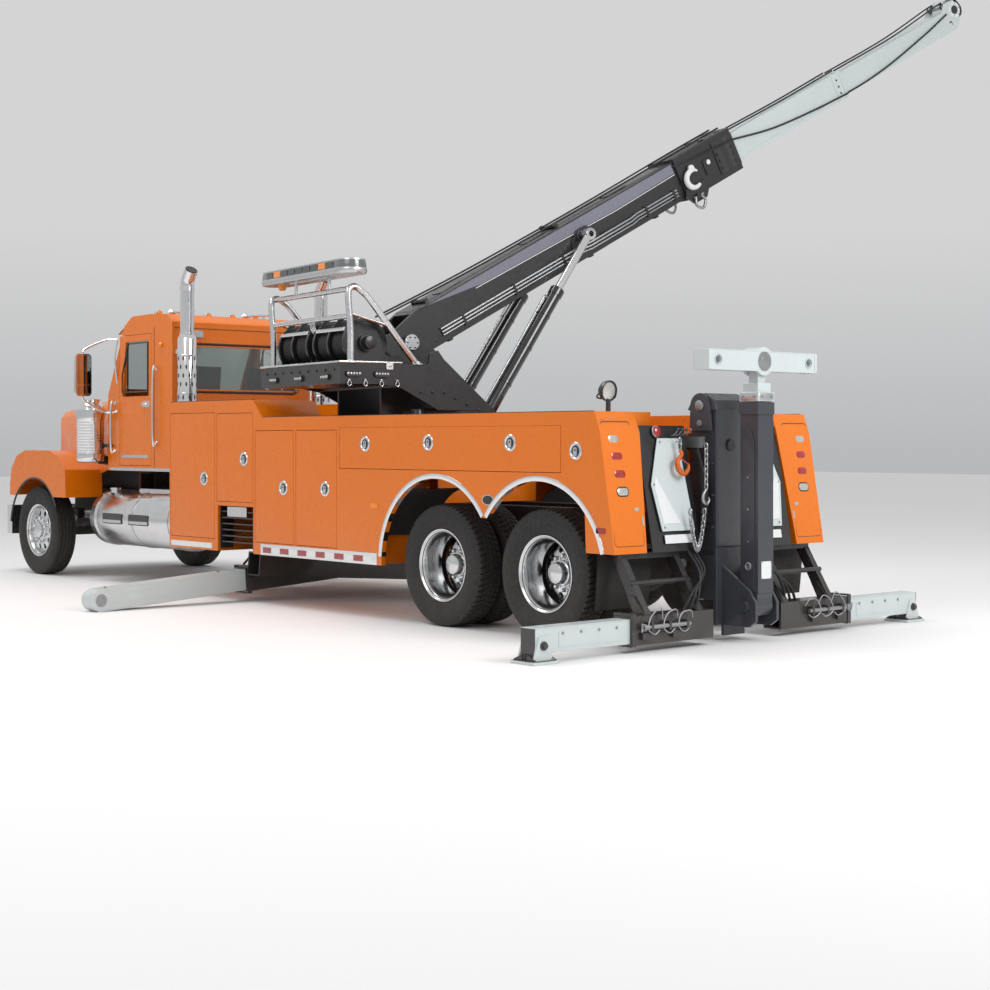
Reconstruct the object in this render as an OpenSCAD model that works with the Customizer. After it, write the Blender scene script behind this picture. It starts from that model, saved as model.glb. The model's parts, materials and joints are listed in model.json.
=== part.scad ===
// Heavy recovery truck with a slewing telescopic boom, underlift and outriggers.
// Millimetres. X runs forwards, Y to the left, Z up. Shapes are drawn with X = 0
// midway between the tandem axles, then moved so that the origin is on the
// ground under the middle of the whole outline.

/* [Chassis] */
// Distance from the tandem centre to the front axle
wheelbase = 8550; // [8300:10:9200]
// Distance between the two tandem axles
tandem_gap = 1334; // [1280:1:1500]
// Height of each frame rail
rail_h = 270; // [220:1:320]
// Width across the outside of the frame rails
frame_w = 860; // [800:1:900]
// Height of the top of the frame above the ground
frame_top = 1050; // [1020:1:1100]
// Plate thickness of the frame rails
rail_t = 10; // [8:1:16]

/* [Wheels] */
// Outer diameter of every tyre
tyre_d = 1080; // [1000:1:1100]
// Width of every tyre
tyre_w = 280; // [240:1:290]
// Diameter over the rim flanges
rim_d = 646; // [600:1:680]
// Radius of the tyre bead seat
bead_r = 292; // [270:1:300]
// Distance from the middle of the truck to the outer face of the front tyres
front_track_y = 1200; // [1160:1:1230]
// Distance from the middle of the truck to the outer face of the rear tyres
rear_track_y = 1235; // [1200:1:1240]
// Gap between the two tyres of a pair
dual_gap = 60; // [40:1:80]
// Spindle radius
spindle_r = 45; // [35:1:55]
// Distance from the middle of the truck to the steering pins
kingpin_y = 800; // [770:1:820]

/* [Cab] */
// Half width of the cab
cab_half = 930; // [880:1:980]
// Rear wall of the cab, from the tandem centre
cab_rear_x = 5770; // [5700:1:5900]
// Length of the cab from its rear wall to the cowl
cab_len = 1470; // [1400:1:1600]
// Roof height above the ground
roof_z = 3080; // [2950:1:3250]
// Thickness of the cab walls and doors
cab_wall = 45; // [30:1:60]
// Underside of the cab
cab_floor_z = 1290; // [1250:1:1340]
// Length of a cab door
door_len = 740; // [650:1:800]
// Length of the hood from the cowl to the nose
hood_len = 1860; // [1700:1:2000]
// Thickness of the hood and fender skins
skin = 20; // [12:1:30]

/* [Tool body] */
// Half width over the tool lockers
body_half = 1295; // [1270:1:1300]
// Underside of the lockers
locker_z0 = 500; // [440:1:560]
// Height of the top rail of the lockers
rail_top = 1870; // [1800:1:1900]
// Height of the raised front lockers
tower_top = 2050; // [1950:1:2060]
// Thickness of the locker doors
locker_door_t = 32; // [20:1:40]
// Depth of a locker from the outer face to its inner wall
locker_depth = 700; // [500:1:740]
// Running gap round each door
door_gap = 5; // [5:1:8]

/* [Turret and boom] */
// Slewing axis, from the tandem centre
turret_x = 2500; // [2300:1:2700]
// Slewing angle of the boom from straight back, towards the right side
slew = 82; // [0:1:90]
// Boom elevation
elev = 28.4; // [20:0.1:35]
// Height of the boom foot pin
foot_z = 2590; // [2500:1:2650]
// Distance from the slewing axis back to the boom foot pin
foot_back = 390; // [350:1:450]
// Length of the base stage from the foot pin
base_len = 4950; // [4600:10:5400]
// Width of the base stage
boom_w = 400; // [360:1:420]
// Depth of the base stage
boom_h = 430; // [380:1:450]
// Length of the middle stage that stands out of the base stage
mid_out = 1950; // [1500:10:2100]
// Length of the tip stage that stands out of the middle stage
tip_out = 2150; // [1500:10:2300]
// Plate thickness of the boom stages
boom_t = 12; // [10:1:20]
// Clearance between one stage and the next, away from the wear pads
stage_gap = 14; // [10:1:20]
// Outer diameter of the lift cylinders
lift_d = 140; // [120:1:150]
// Diameter of the lift cylinder rods
lift_rod_d = 85; // [60:1:95]

/* [Outriggers] */
// Distance from the middle of the truck to the end of the front outriggers
front_reach = 2960; // [2600:10:3200]
// Distance from the middle of the truck to the end of the rear outriggers
rear_reach = 2400; // [2200:10:2700]
// Front outrigger beam width
fo_w = 190; // [150:1:200]
// Front outrigger beam height
fo_h = 210; // [160:1:220]
// Slope of the front outrigger beams
fo_slope = 4; // [0:0.5:6]

/* [Underlift] */
// Distance from the tandem centre back to the folded stinger
stinger_back = 1900; // [1880:1:2000]
// Width and depth of the stinger box
stinger_w = 190; // [160:1:200]
// Height of the top of the stinger box
stinger_top = 1950; // [1700:10:2050]
// Half length of the crossbar
crossbar_half = 670; // [500:10:700]
// Radius of the fork sockets in the crossbar
fork_r = 32; // [20:1:40]

/* [Hidden] */
$fn = 48;

orange = [0.90, 0.42, 0.02];
black = [0.12, 0.12, 0.13];
grey = [0.82, 0.85, 0.85];
steel = [0.75, 0.76, 0.78];
rubber = [0.07, 0.07, 0.07];

seat = 0.3;        // running clearance at pins, rods and seats
run = 5;           // clearance between larger moving pieces
axle_z = tyre_d / 2;
frame_in = frame_w / 2;
rail_w = 85;
frame_rear = -1340;
frame_front = wheelbase + 500;
bumper_back = wheelbase + 720;
bumper_t = 130;
tow_pin_r = 25;

front_wheel_y = front_track_y - tyre_w / 2;
outer_wheel_y = rear_track_y - tyre_w / 2;
inner_wheel_y = outer_wheel_y - tyre_w - dual_gap;
dual_mid_y = (outer_wheel_y + inner_wheel_y) / 2;

cowl_x = cab_rear_x + cab_len;
nose_x = cowl_x + 20 + hood_len;
door_front = cowl_x - 270;
door_z0 = 1350;
door_z1 = 2860;
sill_glass = 2150;

// ---- turret and boom values ----
foot_r = -foot_back;
lift_base = [520, 1800];
eye_u = 2563;                       // rod pin along the boom, from the foot pin
lift_y = boom_w / 2 + 60 + lift_d / 2;
plate_y = lift_y + lift_d / 2 + 20;
plate_t = 30;
turret_half = 850;
tail_r = -1350;
deck_z = 2360;
ring_z = 1620;
mid_w = boom_w - 2 * (boom_t + stage_gap);
mid_h = boom_h - 2 * (boom_t + stage_gap) - 60;
tip_w = mid_w - 2 * (boom_t + stage_gap);
tip_h = mid_h - 2 * (boom_t + stage_gap);
mid_end = base_len + mid_out;
tip_end = mid_end + tip_out;
mid_len = mid_out + 1600;
tip_len = tip_out + 1150;
head_r = 150;                       // radius of the sheave at the boom tip
head_half = 75;
tip_eye_r = 30;
tip_eye_w = -60;
head_u = tip_end + 70;
head_w = 70;
eye_x = foot_r + eye_u * cos(elev);
eye_z = foot_z + eye_u * sin(elev);
lift_len = norm([eye_x - lift_base[0], eye_z - lift_base[1]]);
lift_angle = atan2(eye_z - lift_base[1], eye_x - lift_base[0]);
barrel_len = 1700;
rod_len = 1430;

// ---- outriggers and underlift values ----
fo_tube = 15;                       // plate thickness of the front tubes
fo_x = [3900, 3900 - fo_w - 2 * fo_tube - run];     // left beam, right beam
fo_inner = 1000;
notch_x0 = fo_x[1] - fo_w / 2 - fo_tube - run;
ro_x = -1710;
ro_w = 150;
ro_h = 190;
ro_inner = 1000;
mast_w = 360;
mast_x0 = -1620;
mast_x1 = frame_rear;
mast_top = 2030;
stinger_x = -stinger_back;
fold_z = 300;
cross_z = stinger_top + 330;
cross_w = 160;
ear_back = 110;                     // how far the carriage ears stand behind the fold pin

// ---- origin: middle of the outline, on the ground ----
x_front = bumper_back + bumper_t;
x_rear = stinger_x - ear_back;
y_left = front_reach;
tip_x = foot_r + head_u * cos(elev) - head_w * sin(elev);
y_right = -(tip_x + head_r) * sin(slew) - head_half * cos(slew);
origin_x = (x_front + x_rear) / 2;
origin_y = (y_left + y_right) / 2;

// ------------------------------------------------------------------ helpers
module placed() translate([-origin_x, -origin_y, 0]) children();

// An outline in X and Z, run along Y from y0 to y1
module along_y(points, y0, y1)
    translate([0, y1, 0]) rotate([90, 0, 0]) linear_extrude(y1 - y0) polygon(points);

// An outline in Y and Z, run along X from x0 to x1
module along_x(points, x0, x1)
    translate([x0, 0, 0]) rotate([90, 0, 90]) linear_extrude(x1 - x0) polygon(points);

// A box between two corners
module block(low, high) translate(low) cube(high - low);

// Round bars along each axis
module bar_y(x, z, r, y0, y1) translate([x, y1, z]) rotate([90, 0, 0]) cylinder(r = r, h = y1 - y0);
module bar_x(y, z, r, x0, x1) translate([x0, y, z]) rotate([0, 90, 0]) cylinder(r = r, h = x1 - x0);
module bar_z(x, y, r, z0, z1) translate([x, y, z0]) cylinder(r = r, h = z1 - z0);

// A round bar from point a to point b
module strut(a, b, r) {
    d = b - a;
    translate(a)
        rotate([0, acos(d[2] / norm(d)), atan2(d[1], d[0])])
            cylinder(r = r, h = norm(d));
}

// The same thing on the left, and mirrored on the right
module both_sides() {
    children();
    mirror([0, 1, 0]) children();
}
module on_side(left) mirror([0, left ? 0 : 1, 0]) children();

module in_turret() translate([turret_x, 0, 0]) rotate([0, 0, 180 + slew]) children();
module in_boom() in_turret() translate([foot_r, 0, foot_z]) rotate([0, -elev, 0]) children();
module in_cylinder() in_turret() translate([lift_base[0], 0, lift_base[1]])
    rotate([0, -lift_angle, 0]) children();

// Points of an arc in a plane
function arc(cx, cy, r, a0, a1, n) =
    [for (i = [0:n]) [cx + r * cos(a0 + (a1 - a0) * i / n), cy + r * sin(a0 + (a1 - a0) * i / n)]];

// ------------------------------------------------------------------ chassis
module frame_rails() color(black) placed() {
    both_sides() difference() {
        block([frame_rear, frame_in - rail_w, frame_top - rail_h], [frame_front, frame_in, frame_top]);
        block([frame_rear - 1, frame_in - rail_w - 1, frame_top - rail_h + rail_t],
              [frame_front + 1, frame_in - rail_t, frame_top - rail_t]);
    }
    inside = frame_in - rail_t;
    for (x = [frame_rear, 20, 1900, 5000, 7100, frame_front - 60])
        block([x, -inside, frame_top - rail_h + rail_t], [x + 60, inside, frame_top - rail_t]);
    // blocks that carry the cab
    both_sides() for (x = [cab_rear_x + 120, cowl_x - 240])
        block([x, frame_in - rail_w, frame_top - 1], [x + 120, frame_in, cab_floor_z]);
}

hood_pivot = [bumper_back - 70, 920];
hood_pin_r = 22;
lug_y = 540;                        // inner face of the hood's pivot lugs
module front_bumper() color(steel) placed() difference() {
    union() {
        block([bumper_back, -1180, 470], [bumper_back + bumper_t, 1180, 830]);
        both_sides() {
            block([frame_front, frame_in - rail_w, frame_top - rail_h], [bumper_back + 1, frame_in, 830]);
            block([bumper_back - 120, frame_in - 1, frame_top - rail_h], [bumper_back + 1, lug_y + 20, 810]);
            block([bumper_back - 120, lug_y, 800], [bumper_back - 20, lug_y + 20, hood_pivot[1] + 40]);
        }
    }
    both_sides() {
        // tow pin holes
        bar_z(bumper_back + bumper_t / 2, 300, tow_pin_r, 400, 900);
        bar_y(hood_pivot[0], hood_pivot[1], hood_pin_r + seat, lug_y - 1, lug_y + 21);
    }
}

module engine_block() color([0.35, 0.35, 0.36]) placed() {
    block([cowl_x + 60, -330, 700], [cowl_x + 1400, 330, 1750]);
    block([cowl_x + 1460, -480, frame_top + 10], [cowl_x + 1600, 480, 1850]);
    block([cowl_x + 1400, -60, 1200], [cowl_x + 1460, 60, 1320]);
    both_sides() block([cowl_x + 300, 330, 900], [cowl_x + 420, frame_in - rail_t, 960]);
}

module front_axle() {
    z = axle_z;
    block([wheelbase - 50, -kingpin_y + 60, z - 70], [wheelbase + 50, kingpin_y - 60, z + 30]);
    both_sides() {
        difference() {
            bar_z(wheelbase, kingpin_y, 62, z - 75, z + 75);
            bar_z(wheelbase, kingpin_y, 25 + seat, z - 80, z + 80);
        }
        y0 = frame_in - rail_w;
        block([wheelbase - 600, y0, z + 60], [wheelbase + 440, frame_in, z + 120]);
        block([wheelbase - 80, y0, z - 20], [wheelbase + 80, frame_in, z + 60]);
        for (x = [-600, 400])
            block([wheelbase + x, y0, z + 100], [wheelbase + x + 40, frame_in, frame_top - rail_h]);
    }
}

module rear_axles() for (x = [tandem_gap / 2, -tandem_gap / 2]) {
    inner_end = inner_wheel_y - tyre_w / 2 - 5;
    bar_y(x, axle_z, 75, -inner_end, inner_end);
    translate([x, 0, axle_z]) sphere(r = 205);
    both_sides() {
        bar_y(x, axle_z, spindle_r, inner_end - 1, dual_mid_y + 90);
        block([x - 130, frame_in - rail_w, axle_z + 40], [x + 130, frame_in, frame_top - rail_h]);
    }
}

module axles() color(black) placed() {
    front_axle();
    rear_axles();
}

module knuckle(left) color(black) placed() on_side(left) {
    z = axle_z;
    translate([wheelbase, 0, 0]) {
        bar_z(0, kingpin_y, 25, z - 110, z + 110);
        for (s = [-1, 1]) block([-45, kingpin_y - 45, z + s * 96 - 16], [45, kingpin_y + 95, z + s * 96 + 16]);
        block([-60, kingpin_y + 66, z - 112], [60, kingpin_y + 100, z + 112]);
        bar_y(0, z, spindle_r, kingpin_y + 95, front_track_y - 60);
    }
}
module knuckle_left() knuckle(true);
module knuckle_right() knuckle(false);

// ------------------------------------------------------------------ wheels
// Half of a tyre section: radius, distance from the middle plane
tyre_r = tyre_d / 2;
function tyre_half() = [[bead_r, 104], [328, 104], [350, 124], [400, tyre_w / 2 - 3],
    [450, tyre_w / 2], [tyre_r - 45, tyre_w / 2 - 8], [tyre_r - 12, tyre_w / 2 - 24], [tyre_r, tyre_w / 2 - 44]];

module tyre_ring(y) translate([0, y, 0]) rotate([90, 0, 0]) rotate_extrude($fn = 96)
    polygon(concat(tyre_half(), [for (i = [len(tyre_half()) - 1:-1:0]) [tyre_half()[i][0], -tyre_half()[i][1]]]));

// Barrel of a rim with its two lips, about the plane y
module rim_barrel(y) translate([0, y, 0]) rotate([90, 0, 0]) rotate_extrude($fn = 96)
    polygon([[bead_r - 16, -116], [rim_d / 2, -116], [rim_d / 2, -104 - seat], [bead_r - seat, -104 - seat],
             [bead_r - seat, 104 + seat], [rim_d / 2, 104 + seat], [rim_d / 2, 116], [bead_r - 16, 116]]);

// Wheel disc between two distances from the middle of the truck, with hand holes
module wheel_disc(y0, y1, holes) difference() {
    bar_y(0, 0, bead_r - 10, y0, y1);
    for (a = [0:360 / holes:359]) rotate([0, a, 0]) bar_y(205, 0, 33, y0 - 1, y1 + 1);
}

module front_rim() difference() {
    union() {
        rim_barrel(front_wheel_y);
        wheel_disc(front_wheel_y + 40, front_wheel_y + 62, 10);
        bar_y(0, 0, 150, front_wheel_y - 20, front_wheel_y + 75);
        bar_y(0, 0, 95, front_wheel_y + 70, front_wheel_y + 135);
    }
    bar_y(0, 0, spindle_r + seat, front_wheel_y - 60, front_track_y - 59);
}

module dual_rims() difference() {
    union() {
        rim_barrel(outer_wheel_y);
        rim_barrel(inner_wheel_y);
        wheel_disc(dual_mid_y - 22, dual_mid_y + 22, 10);
        bar_y(0, 0, 150, dual_mid_y - 90, dual_mid_y + 60);
        bar_y(0, 0, 105, dual_mid_y + 50, dual_mid_y + 190);
        for (s = [-1, 1]) translate([0, dual_mid_y + s * 38, 0]) rotate([90, 0, 0]) rotate_extrude($fn = 96)
            polygon([[240, -16], [bead_r - 10, -16], [bead_r - 10, 16], [240, 16]]);
    }
    bar_y(0, 0, spindle_r + seat, dual_mid_y - 91, dual_mid_y + 91);
}

module front_place(left) placed() on_side(left) translate([wheelbase, 0, axle_z]) children();
module rear_place(left, row) placed() on_side(left)
    translate([row * tandem_gap / 2, 0, axle_z]) children();
module front_tyre(left) color(rubber) front_place(left) tyre_ring(front_wheel_y);
module front_wheel_rim(left) color(steel) front_place(left) front_rim();
module tyre_pair(left, row) color(rubber) rear_place(left, row) {
    tyre_ring(outer_wheel_y);
    tyre_ring(inner_wheel_y);
}
module rim_pair(left, row) color(steel) rear_place(left, row) dual_rims();

// ------------------------------------------------------------------ cab
function cab_side(e) = [[cab_rear_x + e, cab_floor_z + e], [cab_rear_x + e, roof_z - 110 - e * 0.6],
    [cab_rear_x + 110 + e * 0.6, roof_z - 20 - e], [cab_rear_x + 500, roof_z - e],
    [cowl_x - 560, roof_z - 10 - e], [cowl_x - 390 - e * 0.8, roof_z - 110 - e],
    [cowl_x - e * 1.1, 2180 - e * 0.3], [cowl_x - e, cab_floor_z + e]];

// Outer face of the windscreen pane
screen_slope = 390 / (roof_z - 110 - 2180);
function screen_x(z) = cowl_x - (z - 2180) * screen_slope - 18;
screen_z = [2250, 2880];
screen_half = cab_half - 80;
back_glass = [720, 2220, 2700];     // half width, bottom, top

module cab_shell() color(orange) placed() difference() {
    along_y(cab_side(0), -cab_half, cab_half);
    along_y(cab_side(cab_wall), -cab_half + cab_wall, cab_half - cab_wall);
    // door openings
    both_sides() block([door_front - door_len, cab_half - cab_wall - 1, door_z0],
                       [door_front, cab_half + 1, door_z1]);
    // rear window
    block([cab_rear_x - 1, -back_glass[0], back_glass[1]], [cab_rear_x + cab_wall + 1, back_glass[0], back_glass[2]]);
    // windscreen
    along_y([[screen_x(screen_z[0]) - cab_wall, screen_z[0]], [screen_x(screen_z[1]) - cab_wall, screen_z[1]],
             [cowl_x + 100, screen_z[1]], [cowl_x + 100, screen_z[0]]], -screen_half, screen_half);
}

pane = 8;
module cab_glass() color([0.6, 0.7, 0.75]) placed() {
    block([cab_rear_x + 15, -back_glass[0], back_glass[1]], [cab_rear_x + 15 + pane, back_glass[0], back_glass[2]]);
    along_y([[screen_x(screen_z[0]), screen_z[0]], [screen_x(screen_z[1]), screen_z[1]],
             [screen_x(screen_z[1]) - pane, screen_z[1]], [screen_x(screen_z[0]) - pane, screen_z[0]]],
            -screen_half, screen_half);
}

module cab_interior() color([0.3, 0.3, 0.32]) placed() {
    z0 = cab_floor_z + cab_wall;
    both_sides() {
        block([cab_rear_x + 250, 230, z0], [cab_rear_x + 650, 650, z0 + 260]);
        block([cab_rear_x + 200, 200, z0 + 260], [cab_rear_x + 740, 700, z0 + 400]);
        along_y([[cab_rear_x + 200, z0 + 400], [cab_rear_x + 330, z0 + 400],
                 [cab_rear_x + 250, z0 + 1150], [cab_rear_x + 120, z0 + 1150]], 220, 680);
    }
    along_y([[cowl_x - 260, z0 + 450], [cowl_x - 80, z0 + 450], [cowl_x - 80, z0 + 800],
             [cowl_x - 210, z0 + 800]], -cab_half + cab_wall, cab_half - cab_wall);
    strut([cowl_x - 240, 450, z0 + 540], [cowl_x - 520, 450, z0 + 820], 30);
    translate([cowl_x - 520, 450, z0 + 820]) rotate([0, -45, 0]) rotate_extrude() translate([220, 0]) circle(r = 16);
    translate([cowl_x - 520, 450, z0 + 820]) rotate([0, -45, 0]) for (a = [0, 90])
        rotate([0, 0, a]) bar_x(0, 0, 12, -215, 215);
}

// A door panel with its window, and the barrel of its hinge on the front edge
hinge_r = 9;
module cab_door(left) color(orange) placed() on_side(left) {
    x1 = door_front - hinge_r - seat;
    x0 = door_front - door_len + door_gap;
    difference() {
        block([x0, cab_half - cab_wall, door_z0 + door_gap], [x1, cab_half, door_z1 - door_gap]);
        along_y([[x0 + 60, sill_glass], [x0 + 60, door_z1 - 80], [x1 - 140, door_z1 - 80],
                 [x1 - 60, sill_glass]], cab_half - cab_wall - 1, cab_half + 1);
    }
    bar_z(x1, cab_half - hinge_r, hinge_r, door_z0 + door_gap, door_z1 - door_gap);
}
module cab_door_left() cab_door(true);
module cab_door_right() cab_door(false);

module cab_mirrors() color(steel) placed() both_sides() {
    x = cowl_x - 130;
    block([x - 40, cab_half + 300, 2150], [x + 40, cab_half + 510, 2650]);
    for (z = [2230, 2570]) bar_y(x, z, 14, cab_half, cab_half + 301);
}

module air_cleaners() color(steel) placed() both_sides() {
    x = cowl_x + 190;
    y = cab_half + 130;
    bar_z(x, y, 165, 1380, 2080);
    bar_z(x, y, 130, 2080, 2150);
    bar_z(x, y, 185, 1960, 2010);
    block([cowl_x - 120, cab_half, 1560], [x, y, 1620]);
}

module exhaust_stacks() color(steel) placed() both_sides() {
    x = cab_rear_x - 270;
    y = 900;
    bar_z(x, y, 110, 1150, 2810);
    bar_z(x, y, 80, 2810, 3400);
    translate([x, y, 3400]) sphere(r = 83);
    strut([x, y, 3400], [x - 90, y, 3520], 76);
    for (z = [1500, 2600]) block([x, y - 60, z], [cab_rear_x, y - 10, z + 60]);
}

module fuel_tanks() color(steel) placed() both_sides() {
    r = 320;
    y = 850;
    z = 740;
    x0 = 5300;
    x1 = cowl_x + 30;
    difference() {
        bar_x(y, z, r, x0, x1);
        // step notches
        for (x = [5900, 6500]) block([x, y + 140, z - 40], [x + 420, y + r + 1, z + 60]);
    }
    for (x = [x0 + 150, x0 + 950, x1 - 200]) {
        block([x, frame_in, frame_top - rail_h + 20], [x + 60, y - r + 60, frame_top - 40]);
        translate([x, 0, 0]) rotate([90, 0, 90]) linear_extrude(60)
            translate([y, z]) difference() {
                circle(r = r + 8);
                circle(r = r - 1);
            }
    }
    block([x0 + 500, y + 60, z + r - 40], [x0 + 1200, y + 260, z + r + 30]);
}

// ------------------------------------------------------------------ hood
function hood_section(half, top, base) = [[-half, base], [-half, top - 130], [-half + 60, top - 40],
    [-half + 180, top], [half - 180, top], [half - 60, top - 40], [half, top - 130], [half, base]];

module hood_slice(x, half, top, base) along_x(hood_section(half, top, base), x, x + 2);

fender_arch = 640;
grille_half = 540;
grille_top = 1930;
module hood() color(orange) placed() {
    x0 = cowl_x + 12;
    difference() {
        union() {
            hull() {
                hood_slice(x0, 830, 2175, 1330);
                hood_slice(nose_x - 30, 600, 2040, 1010);
            }
            // fenders
            both_sides() along_y(fender_outline(0), 560, front_track_y + 35);
        }
        // inside of the hood
        hull() {
            hood_slice(x0 - 3, 830 - skin, 2175 - skin, 1000);
            hood_slice(nose_x - 60, 600 - skin, 2040 - skin, 900);
        }
        // inside of the fenders
        both_sides() along_y(fender_inside(), 540, front_track_y + 35 - skin);
        // wheel arches
        both_sides() bar_y(wheelbase, axle_z, fender_arch, 600, front_track_y + 40);
        // grille opening
        block([nose_x - 100, -grille_half, 900], [nose_x + 10, grille_half, grille_top]);
        // clear of the cab's front corners and the air cleaners
        both_sides() bar_z(cowl_x + 190, cab_half + 130, 200, 1000, 2200);
    }
    // pivot pins and the plates that carry them
    both_sides() {
        bar_y(hood_pivot[0], hood_pivot[1], hood_pin_r, lug_y - 2, lug_y + 60);
        block([hood_pivot[0] - 40, lug_y + 20 + run, hood_pivot[1]], [hood_pivot[0], lug_y + 60, 1140]);
    }
}

function fender_outline(e) = [[cowl_x + 480, 960], [cowl_x + 500, 1290], [cowl_x + 640, 1440],
    [cowl_x + 900, 1520], [wheelbase + 250, 1520], [wheelbase + 480, 1450],
    [wheelbase + 620, 1300], [wheelbase + 665, 1100], [wheelbase + 665, 960]];
function fender_inside() = [[cowl_x + 480 + skin, 900], [cowl_x + 500 + skin, 1280], [cowl_x + 650, 1420],
    [cowl_x + 903, 1500], [wheelbase + 247, 1500], [wheelbase + 468, 1433],
    [wheelbase + 600, 1292], [wheelbase + 665 - skin, 1097], [wheelbase + 665 - skin, 900]];

module grille() color(steel) placed() {
    x = nose_x - 60;
    z0 = 1060;
    border = 35;
    difference() {
        block([x, -grille_half, z0], [x + 60, grille_half, grille_top]);
        block([x - 1, -grille_half + border, z0 + border], [x + 61, grille_half - border, grille_top - border]);
    }
    for (i = [-6:6]) block([x + 15, i * 74 - 9, z0 + border - 5], [x + 45, i * 74 + 9, grille_top - border + 5]);
}

// ------------------------------------------------------------------ tool body
// Lockers: front edge, rear edge, underside, top
tower_ramp = 3400;
hinge_relief = 2;                   // room for an edge that swings past its own hinge line
well_z = 1540;                      // floor of the well that the turret turns in
well_half = 960;
well_x1 = turret_x + well_half;
lockers = [[5180, 4290, 620, 1930], [4250, 3570, 1010, 1920], [3530, 2850, 620, 1740], [2810, 2130, 620, 1740]];
upper = [2090, -950, 1375, 1760];
function body_outline() = concat([[5200, locker_z0], [5200, tower_top], [tower_ramp + 170, tower_top],
    [tower_ramp, rail_top], [-1310, rail_top], [-1370, 1800], [-1560, 745], [-1440, 745]],
    arc(-tandem_gap / 2, axle_z, 770, 165, 35, 10),
    arc(tandem_gap / 2, axle_z, 770, 145, 3, 10),
    [[tandem_gap / 2 + 770, locker_z0]]);

module tool_side() difference() {
    union() {
        along_y(body_outline(), body_half - 45, body_half);
        // lockers ahead of the wheels
        along_y([[5200, locker_z0], [5200, tower_top], [tower_ramp + 170, tower_top], [tower_ramp, rail_top],
                 [1560, rail_top], [1560, locker_z0]], 560, body_half - 44);
        // locker over the wheels
        block([-1300, 620, 1300], [1561, body_half - 44, rail_top]);
        // tail corner
        hull() {
            block([-1560, 930, 745], [-1240, body_half, 750]);
            block([-1400, 850, 1700], [-1200, body_half, 1705]);
        }
        hull() {
            block([-1400, 850, 1700], [-1200, body_half, 1705]);
            block([-1340, 860, 1865], [-1200, body_half, 1870]);
        }
    }
    for (d = lockers) {
        // door recess and the locker behind it
        block([d[1], body_half - locker_door_t - door_gap, d[2]], [d[0] + hinge_relief, body_half + 1, d[3]]);
        deep_top = d[1] > well_x1 ? d[3] - 25 : well_z - 40;
        block([d[1] + 25, body_half - locker_depth, d[2] + 25], [d[0] - 25, body_half, deep_top]);
        block([d[1] + 25, well_half + 30, d[2] + 25], [d[0] - 25, body_half, d[3] - 25]);
    }
    block([upper[1], body_half - locker_door_t - door_gap, upper[2]], [upper[0], body_half + 1, upper[3]]);
    block([upper[1] + 25, well_half + 30, upper[2] + 25], [upper[0] - 25, body_half, upper[3] - 25]);
    // way out for the front outriggers
    block([notch_x0, 500, 0], [4230, body_half + 1, 970]);
    // well that the turret turns in
    block([-1100, 500, well_z], [well_x1, well_half, rail_top + 1]);
}

module tool_body() color(orange) placed() {
    both_sides() tool_side();
    // bearers between the lockers, and their half lengths
    for (b = [[4700, 575], [1450, 621], [-1290, 621]])
        block([b[0], -b[1], frame_top], [b[0] + 90, b[1], frame_top + 260]);
    block([-1290, -860, 1310], [-1260, 860, 1700]);
}

// Side-hinged locker door: the barrel of its hinge is on the front edge
barrel_r = 7;
module locker_door(left, i) color(orange) placed() on_side(left) {
    d = lockers[i];
    x1 = d[0] - barrel_r - seat;
    block([d[1] + door_gap, body_half - locker_door_t, d[2] + door_gap], [x1, body_half, d[3] - door_gap]);
    bar_z(x1, body_half - barrel_r, barrel_r, d[2] + door_gap, d[3] - door_gap);
}
// Top-hinged door over the wheels
module upper_door(left) color(orange) placed() on_side(left) {
    z1 = upper[3] - barrel_r - seat;
    block([upper[1] + door_gap, body_half - locker_door_t, upper[2] + door_gap],
          [upper[0] - door_gap, body_half, z1]);
    bar_x(body_half - barrel_r, z1, barrel_r, upper[1] + door_gap, upper[0] - door_gap);
}

// ------------------------------------------------------------------ rotator base and turret
module rotator_base() color(black) placed() {
    block([1560, -500, frame_top], [4650, 500, 1300]);
    bar_z(turret_x, 0, 520, 1299, 1561);
    bar_z(turret_x, 0, 700, 1560, ring_z, $fn = 144);
}

function outer_plate() = [[tail_r, 2165], [tail_r, deck_z], [foot_r - 20, deck_z], [foot_r, 2470],
    [foot_r + 90, 2500], [160, 1930], [-300, 1930], [-700, 2130], [-900, 2165]];
function inner_plate() = [[-700, 1690], [-700, 2640], [foot_r - 90, 2700], [foot_r + 60, 2700],
    [foot_r + 160, 2640], [700, 1860], [700, 1690]];

foot_pin_r = 45;
lift_pin_r = 40;
module turret() color(black) placed() in_turret() {
    bar_z(0, 0, 690, ring_z + seat, 1651, $fn = 144);
    bar_z(0, 0, 880, 1650, 1700, $fn = 144);
    for (s = [-1, 1]) {
        along_y(inner_plate(), s * (plate_y + plate_t / 2) - plate_t / 2, s * (plate_y + plate_t / 2) + plate_t / 2);
        along_y(outer_plate(), s * (turret_half - 15) - 15, s * (turret_half - 15) + 15);
        // step board between the plates
        board_y = s * (plate_y + turret_half) / 2;
        board_half = (turret_half - plate_y) / 2;
        block([-300, board_y - board_half, 1930], [160, board_y + board_half, 1950]);
        // bosses of the boom foot pin
        bar_y(foot_r, foot_z, 65, s * (plate_y + 15 + plate_t) - 30, s * (plate_y + 15 + plate_t) + 30);
    }
    // platform under the winches, and the bulkhead ahead of it
    block([tail_r, -turret_half, 2165], [-700, turret_half, 2200]);
    block([tail_r, -turret_half, 2165], [tail_r + 30, turret_half, deck_z]);
    block([-720, -turret_half, 2140], [-690, turret_half, deck_z]);
    bar_y(foot_r, foot_z, foot_pin_r, -plate_y - 5, plate_y + 5);
    bar_y(lift_base[0], lift_base[1], lift_pin_r, -plate_y - 5, plate_y + 5);
}

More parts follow.
